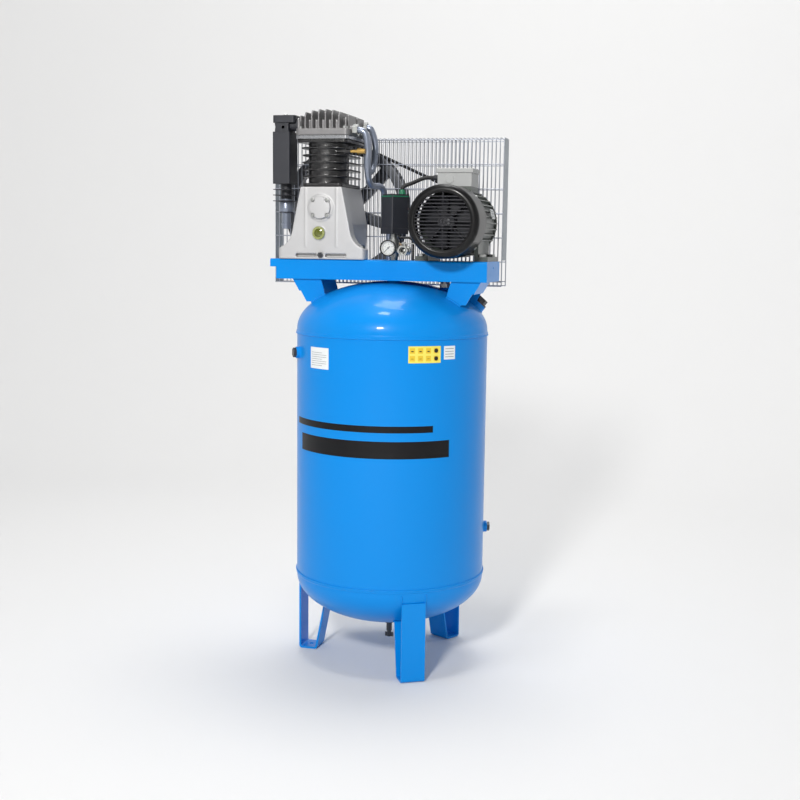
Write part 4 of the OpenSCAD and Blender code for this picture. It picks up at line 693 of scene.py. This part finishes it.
def guard():
    b = Build()
    r = 1.5
    x0, x1, z0, z1 = guard_lo.x + r, guard_hi.x - r, guard_lo.z + r, guard_hi.z - r
    yf, yr = guard_lo.y + r, guard_hi.y - r
    holes = [(crank.x, crank.z, 51.5), (shaft.x, shaft.z, 31.5)]
    bend = 9.0

    def cuts(lo, hi, at, vertical):
        spans = [(lo, hi)]
        for cx, cz, cr in holes:
            d = at - (cx if vertical else cz)
            if abs(d) >= cr:
                continue
            h = math.sqrt(cr * cr - d * d)
            c = cz if vertical else cx
            spans = [s for a, e in spans for s in ((a, min(e, c - h)), (max(a, c + h), e))
                     if s[1] - s[0] > 1]
        return spans

    gaps = 58
    for i in range(gaps + 1):
        x = x0 + (x1 - x0) * i / gaps
        for a, e in cuts(z0, z1, x, True):
            if e < z1 - 1:
                b.tube([(x, yf, a), (x, yf, (a + e) / 2), (x, yf, e)], r, 8)
                continue
            path = [(x, yf, a), (x, yf, (a + z1 - bend) / 2)]
            for k in range(7):
                t = math.pi / 2 * k / 6
                path.append((x, yf + bend * (1 - math.cos(t)), z1 - bend + bend * math.sin(t)))
            for k in range(7):
                t = math.pi / 2 * k / 6
                path.append((x, yr - bend + bend * math.sin(t), z1 - bend + bend * math.cos(t)))
            path += [(x, yr, (z0 + z1) / 2), (x, yr, z0)]
            b.tube(path, r, 8)
    rows = [z0 + (z1 - z0 - 6) * k / 6 for k in range(7)] + [z0 + 13.5]
    for z in rows:
        for a, e in cuts(x0 - 1, x1 + 1, z, False):
            b.tube([(a, yf - 2.2, z), ((a + e) / 2, yf - 2.2, z), (e, yf - 2.2, z)], r, 8)
        b.tube([(x0 - 1, yr + 2.2, z), (0, yr + 2.2, z), (x1 + 1, yr + 2.2, z)], r, 8)
    b.tube([(x0 - 1, (yf + yr) / 2, z1 - 2.2), (0, (yf + yr) / 2, z1 - 2.2),
            (x1 + 1, (yf + yr) / 2, z1 - 2.2)], r, 8)
    for cx, cz, cr in holes:
        n = 64
        b.tube([(cx + cr * math.cos(2 * math.pi * i / n), yf, cz + cr * math.sin(
            2 * math.pi * i / n)) for i in range(n)], r + 0.6, 10, closed=True)
    b.piece("guard_wires", WIRE, slot="guard_wire", replaces=("guard_mesh",), smooth=60,
            weighted=False)


# ---------- belts and wheels ----------

def belts():
    b = Build()
    wr, pr = wheel_hi.z - crank.z, (pulley_hi.x - pulley_lo.x) / 2
    gap = math.hypot(shaft.x - crank.x, shaft.z - crank.z)
    slope = math.atan2(shaft.z - crank.z, shaft.x - crank.x)
    lean = math.acos((wr - pr) / gap)
    up, down = slope + lean, slope - lean
    mid = belt_mid
    sec = [(0.2, -6.1), (0.5, -5.5), (0.62, 0), (0.5, 5.5), (0.2, 6.1), (-0.5, 6.3),
           (-7.9, 4.2), (-8.5, 3.5), (-8.5, -3.5), (-7.9, -4.2), (-0.5, -6.3)]
    m = len(sec)
    for s in (-7.5, 7.5):
        verts, faces = [], []
        rings = []
        for c, r, a0, a1, n in ((crank, wr, up, down + 2 * math.pi, 180),
                                (shaft, pr, down, up, 64)):
            for i in range(n + 1):
                rings.append((c, r, a0 + (a1 - a0) * i / n))
        for c, r, a in rings:
            for d, y in sec:
                verts.append((c.x + (r + d) * math.cos(a), mid + s + y,
                              c.z + (r + d) * math.sin(a)))
        n = len(rings)
        for i in range(n):
            j = (i + 1) % n
            for k in range(m):
                q = (k + 1) % m
                faces.append([i * m + k, i * m + q, j * m + q, j * m + k])
        b.add(verts, faces)
    b.piece("v_belt_pair", RUBBER, slot="rubber", replaces=("v_belts",), smooth=50,
            weighted=False)


belt_mid = (pulley_lo.y + pulley_hi.y) / 2 - 4.0


# ---------- fan cowl ----------

def cowl():
    lo, hi = box_mm("fan_cowl")
    R, front, back = (hi.x - lo.x) / 2, lo.y, hi.y
    at = facing(shaft.x, 0, shaft.z, (0, -1, 0))
    f = -front
    prof = [(R - 2, -back), (R, -back)]
    c, rr = R - 17, 17
    prof += [(R, f - rr - 20)]
    prof += [(c + rr * math.cos(math.radians(a)), f - rr + rr * math.sin(math.radians(a)))
             for a in range(0, 91, 6)]
    prof += [(89, f - 0.1), (87.4, f - 0.9), (86.6, f - 2.4), (84.6, f - 2.6), (84.6, f - 5.4),
             (c, f - 2.4)]
    prof += [(c + (rr - 2.2) * math.cos(math.radians(a)),
              f - rr + (rr - 2.2) * math.sin(math.radians(a))) for a in range(84, -1, -12)]
    prof += [(R - 2, -back)]
    b = Build()
    b.lathe(prof, at, 144)
    b.piece("cowl_shell", GLOSS_BLACK, slot="gloss_black", replaces=("fan_cowl",), smooth=35,
            weighted=False)
    b = Build()
    # louvre bars, slightly crowned, between the grille's rim and its hub ring
    gr, n, pitch = 85.4, 15, 10.4
    for k in range(n):
        z = (k - (n - 1) / 2) * pitch
        half = math.sqrt(gr * gr - z * z)
        spans = [(-half, half)]
        if abs(z) < 13:
            h = math.sqrt(13.5 ** 2 - z * z)
            spans = [(-half, -h), (h, half)]
        for a, e in spans:
            steps = 12
            verts, faces = [], []
            ring = [(-2.4, -0.2), (-1.2, 1.5), (1.2, 1.5), (2.4, -0.2), (1.6, -1.6), (-1.6, -1.6)]
            for i in range(steps + 1):
                x = a + (e - a) * i / steps
                dome = 2.2 * (1 - (x * x + z * z) / gr ** 2)
                for u, w in ring:
                    verts.append((x, z + u, f - 4.2 + dome + w))
            for i in range(steps):
                for j in range(6):
                    q = (j + 1) % 6
                    faces.append([i * 6 + j, i * 6 + q, (i + 1) * 6 + q, (i + 1) * 6 + j])
            faces.append([5, 4, 3, 2, 1, 0])
            faces.append([steps * 6 + j for j in range(6)])
            b.add([(-x, y, z2) for x, y, z2 in verts], [q[::-1] for q in faces], at)
    b.piece("cowl_louvres", LOUVRE, slot="gloss_black", smooth=35, weighted=False)
    # A near-black sheet inside the cowl's wall, painting shade into its hollow interior.
    b = Build()
    b.lathe([(R - 2.2, -back + 2), (R - 2.2, f - 22), (R - 8, f - 9), (R - 9, f - 9.5),
             (R - 3, f - 22.5), (R - 3, -back + 2), (R - 2.2, -back + 2)], at, 96)
    b.piece("cowl_painted_shade_sheet", COWL_SHADE_SHEET, slot="dark_plastic", smooth=35, weighted=False)
    b = Build()
    b.lathe([(0, f - 4.6), (9.5, f - 4.6), (10, f - 3), (11.5, f - 1.3), (13.5, f - 1.3),
             (14.6, f - 2.6), (14.6, f - 5), (0, f - 5.4)], at, 48)
    for k in range(6):
        a = math.radians(60 * k)
        b.lathe([(0, 0), (2.3, 0), (2.3, 1.2), (1.5, 2), (0, 2.1)],
                at @ place(6 * math.cos(a), 6 * math.sin(a), f - 4.7), 16)
    for s in (-1, 1):
        b.tube([at @ Vector((s * 1.3, -84 + 168 * i / 8, f - 6.2 + 2.0 * (1 - ((i - 4) / 4) ** 2)))
                for i in range(9)], 1.3, 8)
    b.piece("cowl_hub", LOUVRE, slot="gloss_black", smooth=35, weighted=False)
    b = Build()
    for a in (45, 135, 225, 315):
        d = Vector((math.cos(math.radians(a)), 0, math.sin(math.radians(a))))
        p = Vector((shaft.x, back - 9, shaft.z)) + d * (R - 0.3)
        b.bolt(facing(*p, d), 9, 3, 0, hexagon=False)
    b.piece("cowl_screws", ZINC, slot="zinc_steel")


# ---------- tubes ----------

ROUTES = {
    "intercooler_tube": (10, PIPE, [
        (-120.8, 84, 1691), (-115, 84, 1691), (-109, 84.3, 1689.6), (-101, 86, 1684),
        (-93, 91, 1660), (-88, 92, 1629),
        (-89, 88, 1591), (-91, 80, 1570), (-93, 66, 1555), (-96, 48, 1550), (-96, 38, 1563),
        (-95, 34, 1590), (-95, 34, 1645), (-99, 35, 1660),
        (-105.5, 36, 1669), (-110.5, 36, 1671), (-114.6, 36, 1671)]),
    "delivery_tube": (10, PIPE, [
        (-115, -55, 1671), (-94, -55, 1671), (-79, -54, 1662), (-73, -53, 1638),
        (-71, -52, 1611), (-72, -52, 1581), (-72, -48, 1553), (-72, -36, 1525), (-71, -18, 1510),
        (-66, 5, 1505), (-57, 28, 1506), (-50, 46, 1498), (-47, 57, 1480), (-47, 62, 1455),
        (-42, 63, 1430), (-36, 63, 1405), (-32, 62, 1380), (-31, 60, 1330), (-31, 60, 1290),
        (-28, 59, 1262), (-14, 57, 1246), (20, 50, 1238), (80, 38, 1233), (120, 26, 1229),
        (144, 20, 1228)]),
    "unloader_tube": (3.5, RUBBER, [
        (34, -60, 1356.5), (34, -60, 1351), (38, -60, 1347), (50, -60, 1346), (66, -60, 1346),
        (76, -60, 1340), (80, -60, 1326), (80, -60, 1300), (80, -60, 1262), (84, -56, 1242),
        (98, -44, 1228), (118, -20, 1219), (129, -3, 1216.5), (135, 9, 1215.3),
        (139, 14, 1215), (143.4, 14, 1215)]),
    "motor_cable": (6, RUBBER, [
        (134, -10, 1530), (121, -10, 1530), (108, -10, 1530), (92, -14, 1526), (76, -22, 1518),
        (64, -29, 1512), (54, -34, 1508), (45, -38, 1504), (39.5, -39.8, 1498.5),
        (37.5, -40.3, 1492), (37.5, -40.3, 1482)]),
}


def tubes():
    for name, (r, material, route) in ROUTES.items():
        b = Build()
        b.tube(smooth_route(route, 10), r, 28)
        b.piece(name + "_drawn", material, slot=slot_of[name], replaces=(name,), smooth=60,
                weighted=False)


# ---------- gauge ----------

def gauge():
    lo, hi = box_mm("gauge_case")
    cx, cz, R = (lo.x + hi.x) / 2, (lo.z + hi.z) / 2, (hi.x - lo.x) / 2
    front, back = lo.y, hi.y
    at = facing(cx, 0, cz, (0, -1, 0))
    f = -front
    b = Build()
    b.lathe([(0, -back), (R - 3, -back), (R - 1.2, -back + 1.2), (R - 1.2, f - 6), (R, f - 5),
             (R, f - 1.2), (R - 1, f - 0.2), (R - 2.6, f), (R - 3.4, f - 1.6), (R - 3.4, f - 9.6),
             (0, f - 9.6)], at, 72)
    b.piece("gauge_body", GLOSS_BLACK, slot="gauge_black", replaces=("gauge_case",), smooth=35)
    face = f - 9.9
    b = Build()
    b.lathe([(0, face), (R - 3.5, face), (R - 3.5, face + 0.4), (0, face + 0.4)], at, 72)
    b.piece("gauge_dial", WHITE, slot="grey_plastic", smooth=30)
    b = Build()
    for k in range(33):
        a = math.radians(225 - 270 * k / 32)
        major = k % 4 == 0
        r0, r1, w = (14.2 if major else 16.2), 18.4, (0.55 if major else 0.28)
        d, s = Vector((math.cos(a), math.sin(a), 0)), Vector((-math.sin(a), math.cos(a), 0))
        z = face + 0.45
        q = [d * r0 - s * w, d * r1 - s * w, d * r1 + s * w, d * r0 + s * w]
        verts = [v + Vector((0, 0, z)) for v in q] + [v + Vector((0, 0, z + 0.25)) for v in q]
        b.add(verts, [[3, 2, 1, 0], [4, 5, 6, 7], [0, 1, 5, 4], [1, 2, 6, 5], [2, 3, 7, 6],
                      [3, 0, 4, 7]], at)
    b.lathe([(18.3, face + 0.45), (18.9, face + 0.45), (18.9, face + 0.7), (18.3, face + 0.7),
             (18.3, face + 0.45)], at, 72)
    b.piece("gauge_ticks", INK, slot="gauge_black", smooth=30)
    for k in range(5):
        a = math.radians(225 - 270 * k / 4)
        txt = bpy.data.curves.new(f"gauge_number_{k}", "FONT")
        txt.body = str(4 * k)
        txt.size, txt.extrude = 4.6 * MM, 0.1 * MM
        txt.align_x, txt.align_y = "CENTER", "CENTER"
        ob = link(f"gauge_number_{k}", txt)
        ob.matrix_world = (Matrix.Scale(MM, 4) @ at @ place(
            11 * math.cos(a), 11 * math.sin(a), face + 0.6) @ Matrix.Scale(1 / MM, 4))
        bpy.context.view_layer.update()
        me = bpy.data.meshes.new_from_object(ob.evaluated_get(
            bpy.context.evaluated_depsgraph_get()))
        me.transform(ob.matrix_world)
        bpy.data.objects.remove(ob)
        settle(link(f"gauge_number_{k}", me), INK, ROOT, weighted=False)
    recolour("gauge_needle", INK)
    recolour("gauge_glass", CLEAR)


def recolour(cad, material):
    ob = nodes[cad]
    for s in ob.material_slots:
        s.material = material
    if not ob.material_slots:
        ob.data.materials.append(material)


# ---------- small fittings ----------

def glands():
    lo, hi = box_mm("terminal_box")
    at = facing(lo.x, -10, 1530, (-1, 0, 0))
    b = Build()
    one_gland(b, at)
    sw_lo, sw_hi = box_mm("switch_cover")
    c = Vector(((sw_lo.x + sw_hi.x) / 2, (sw_lo.y + sw_hi.y) / 2, 0))
    rear = Vector((-math.cos(math.radians(40)), math.sin(math.radians(40)), 0))
    one_gland(b, facing(*(c + rear * 30.5 + Vector((0, 0, 1397))), rear))
    b.piece("glands_black", DARK_PLASTIC, slot="dark_plastic", replaces=("cable_glands",))
    b = Build()
    one_gland(b, facing(37.5, -40.3, 1478.2, (0, 0, 1)), 14)
    # the green edge of the switch's cover, as four slim bars under its top plate
    turned = place(c.x, c.y, sw_hi.z - 20.9) @ turn("Z", -40)
    for k in range(4):
        b.block((-29, 30.3, 12.5), (29, 31.0, 15.6), 0.3, turned @ turn("Z", 90 * k))
    b.piece("gland_green", GREEN, slot="dark_plastic")


def one_gland(b, at, h=21):
    bore, hexr = 6.7, 11
    b.lathe([(bore, -7), (7.9, -7), (7.9, 0), (bore, 0), (bore, -7)], at, 32)
    b.lathe([(bore, 0.1), (hexr * 0.94, 0.1), (hexr, 0.7), (hexr, 4.5), (hexr * 0.94, 5.1),
             (8.5, 5.1)], at, 6)
    prof = [(8.5, 5.1), (8.5, h - 4), (8.1, h - 2.4), (7.6, h - 0.5), (7.2, h), (bore, h),
            (bore, 0.1)]
    b.lathe(prof, at, 40)
    for k in range(12):
        a = math.radians(30 * k)
        p = Vector((8.5 * math.cos(a), 8.5 * math.sin(a), 0))
        b.tube([at @ (p + Vector((0, 0, z))) for z in (6.2, (h + 1.6) / 2, h - 4.6)], 0.55, 6)


def inlet_cup():
    """The bright cup and pipe pressed over the filter's inlet."""
    lo, hi = box_mm("filter_housing")
    at = place(lo.x + 33, -28, lo.z)
    b = Build()
    b.lathe([(14.1, 0), (14.3, 0.6), (14.3, 49), (19, 51), (21.6, 52.2), (22.3, 54), (22.3, 62),
             (22.8, 62.8), (22.8, 65), (22.3, 65.8), (22.3, 82.5), (21.6, 84.4), (18, 84.8),
             (17.1, 84.8)], at, 48)
    b.lathe([(14.3, 12), (15.8, 12.6), (15.8, 18), (14.3, 18.6)], at, 48)
    b.lathe([(17.1, 88), (18.6, 88.5), (18.6, 92), (17.1, 92.5)], at, 40)
    b.piece("inlet_cup", PIPE, slot="zinc_steel", weighted=False)


def screws_and_caps():
    b = Build()
    lid_lo, lid_hi = box_mm("terminal_box_lid")
    for x in (lid_lo.x + 9, lid_hi.x - 9):
        for y in (lid_lo.y + 9, lid_hi.y - 9):
            b.bolt(place(x, y, lid_hi.z - 0.3), 8, 3.2, 0, hexagon=False)
    sw_lo, sw_hi = box_mm("switch_cover")
    cx, cy = (sw_lo.x + sw_hi.x) / 2, (sw_lo.y + sw_hi.y) / 2
    b.bolt(place(cx - 6, cy + 2, sw_hi.z - 0.2), 9, 3.5, 7, hexagon=False)
    fc_lo, fc_hi = box_mm("filter_cap")
    b.bolt(place((fc_lo.x + fc_hi.x) / 2 - 6, (fc_lo.y + fc_hi.y) / 2, fc_hi.z - 0.2), 12, 5, 11)
    b.piece("cover_screws", ZINC, slot="zinc_steel")


def motor_plate():
    """A plain riveted data plate on the motor's right flank."""
    b = Build()
    at = facing(shaft.x + 101, 18, shaft.z + 26, (1, 0, 0.25))
    b.block((-26, -15, 5.0), (26, 15, 6.2), 0.4, at)
    b.piece("motor_data_plate", PLATE, slot="zinc_steel")
    b = Build()
    for x in (-22, 22):
        for y in (-11, 11):
            b.lathe([(0, 6), (1.8, 6), (1.6, 7), (0, 7.4)], at @ place(x, y, 0), 16)
    for k in range(4):
        b.block((-17, -8 + 5 * k, 6.1), (17 - 7 * (k % 2), -6.6 + 5 * k, 6.35), 0.1, at)
    b.piece("motor_plate_rivets", INK, slot="gauge_black")
    b = Build()
    for a in (45, 135, 225, 315):
        p = (shaft.x + 94 * math.cos(math.radians(a)), 112, shaft.z + 94 * math.sin(
            math.radians(a)))
        b.bolt(facing(*p, (0, 1, 0)), 10, 5, 8)
    b.piece("motor_tie_bolts", ZINC, slot="zinc_steel")


# ---------- making everything ----------

receiver()
weld_beads()
labels()
guard()
belts()
cowl()
tubes()
gauge()
glands()
inlet_cup()
screws_and_caps()
motor_plate()

for cad in ("tank_legs", "platform_deck", "platform_brackets"):
    soften(cad, BLUE, 0.9)
cast("crankcase", SILVER, 1.9, 6, 0.22)
cast("bearing_covers", SILVER, 1.2, 4, 0.25)
cast("cylinder_block", BLACK_CAST, 1.5, 4, 0.3)
# The head's convex fin edges take the pale edge colour, a painted highlight as well as wear.
cast("cylinder_head", SILVER_DARK, 1.5, 3, 0.3)
cast("flywheel", WHEEL, 1.7, 4, 0.3)
cast("motor_pulley", WHEEL, 1.3, 3, 0.3)
soften("motor_frame", MOTOR, 0.6)
cast("motor_shields", MOTOR, 1.6, 4, 0.25)
for cad, material, width in (
        ("threaded_plugs", DARK_STEEL, 0.6), ("drain_valve_body", DARK_STEEL, 0.5),
        ("drain_knob", DARK_STEEL, 0.5),
        ("mounting_bolts", ZINC, 0.5), ("head_bolts", ZINC, 0.5), ("pump_gaskets", GASKET, 0.15),
        ("valve_plate", STEEL, 0.4), ("sight_glass_bezel", BEZEL, 0.5),
        ("sight_glass_lens", OIL, 0.3), ("filter_housing", DARK_PLASTIC, 1.0),
        ("filter_cap", DARK_PLASTIC, 1.0), ("intake_elbow", DARK_PLASTIC, 0.8),
        ("tube_nuts", ZINC, 0.6), ("check_valve", ZINC, 0.5), ("terminal_box", BOX_GREY, 1.5),
        ("terminal_box_lid", BOX_GREY, 1.5), ("guard_strips", STRIP, 0.5),
        ("manifold", ZINC, 0.5), ("switch_base", DARK_PLASTIC, 0.8),
        ("switch_cover", DARK_PLASTIC, 1.2), ("switch_knob", RED, 1.0),
        ("safety_valves", BRASS, 0.4), ("ball_valve_body", ZINC, 0.6),
        ("ball_valve_lever", ZINC, 0.4), ("cooling_fan", DARK_PLASTIC, 0.3)):
    soften(cad, material, width)
for cad, material in (
        ("main_bearings", STEEL), ("crankshaft", STEEL), ("conn_rod_low", SILVER_DARK),
        ("conn_rod_high", SILVER_DARK), ("piston_low", STEEL), ("piston_high", STEEL),
        ("filter_element", PAPER), ("motor_stator", COPPER), ("motor_rotor", STEEL),
        ("motor_bearings", STEEL)):
    recolour(cad, material)


# ---------- floor, light and camera ----------

def studio():
    """A pale floor that sweeps up all round the object, and soft lamps above its front left."""
    sweep = [(3 * math.sin(math.radians(a)), 3 - 3 * math.cos(math.radians(a)))
             for a in range(0, 91, 6)] + [(3.0, 9.0)]
    turns = [math.tau * k / 64 for k in range(64)]
    verts = [(0, 0, 0)]
    for out, z in sweep:
        for t in turns:
            # the sweep starts 2.6 m behind the object and 5.2 m in front of it
            r = 5.2 - 2.6 * ((1 + math.sin(t)) / 2) ** 2 + out
            verts.append((r * math.cos(t), r * math.sin(t), z))
    faces = [(0, 1 + k, 1 + (k + 1) % 64) for k in range(64)]
    for i in range(len(sweep) - 1):
        for k in range(64):
            low, n = 1 + 64 * i, (k + 1) % 64
            faces.append((low + k, low + 64 + k, low + 64 + n, low + n))
    me = bpy.data.meshes.new("floor")
    me.from_pydata(verts, [], faces)
    me.polygons.foreach_set("use_smooth", [True] * len(me.polygons))
    floor = link("floor", me)
    m = bpy.data.materials.new("pale_floor")
    m.use_nodes = True
    p = m.node_tree.nodes["Principled BSDF"]
    p.inputs["Base Color"].default_value = (0.8, 0.8, 0.8, 1)
    p.inputs["Roughness"].default_value = 0.85
    p.inputs["Specular IOR Level"].default_value = 0.1
    me.materials.append(m)
    world = bpy.data.worlds.new("studio")
    bpy.context.scene.world = world
    world.use_nodes = True
    bg = world.node_tree.nodes["Background"]
    bg.inputs[0].default_value = (0.96, 0.98, 1.0, 1)
    bg.inputs[1].default_value = 0.16

    def lamp(name, pos, target, size, power, color=(1, 1, 1)):
        d = bpy.data.lights.new(name, "AREA")
        d.shape, d.size, d.energy, d.color = "DISK", size, power, color
        o = bpy.data.objects.new(name, d)
        bpy.context.scene.collection.objects.link(o)
        o.location = pos
        o.rotation_mode = "QUATERNION"
        o.rotation_quaternion = (Vector(target) - Vector(pos)).to_track_quat("-Z", "Y")

    lamp("key", (0.1, -5.9, 3.85), (0, 0, 1.2), 0.8, 290, (1.0, 0.985, 0.96))
    lamp("top", (-0.25, -0.9, 5.0), (0, 0, 1.2), 0.7, 36)
    lamp("backdrop", (0, 1.6, 6.5), (0, 3.6, 0.6), 3.0, 190)


def camera():
    """Seen from the front, a little to the right, slightly above the platform."""
    d, yaw, h = 3.950, math.radians(15.61), 1.3235
    tilt, roll, aim = math.radians(8.13), math.radians(-0.8), math.radians(-1.17)
    a = yaw + aim
    fwd = Vector((-math.sin(a) * math.cos(tilt), math.cos(a) * math.cos(tilt), -math.sin(tilt)))
    right = Vector((math.cos(a), math.sin(a), 0))
    down = fwd.cross(right)
    c, s = math.cos(roll), math.sin(roll)
    right, down = c * right + s * down, c * down - s * right
    rot = Matrix((right, -down, -fwd)).transposed()
    data = bpy.data.cameras.new("view")
    data.sensor_width = 36
    data.lens = 56.17
    data.shift_x, data.shift_y = -0.0208, 0.0296
    data.clip_end = 60
    cam = bpy.data.objects.new("view", data)
    bpy.context.scene.collection.objects.link(cam)
    cam.matrix_world = Matrix.Translation((math.sin(yaw) * d, -math.cos(yaw) * d, h)) \
        @ rot.to_4x4()
    bpy.context.scene.camera = cam


studio()
camera()
bpy.context.scene.view_settings.view_transform = "Standard"
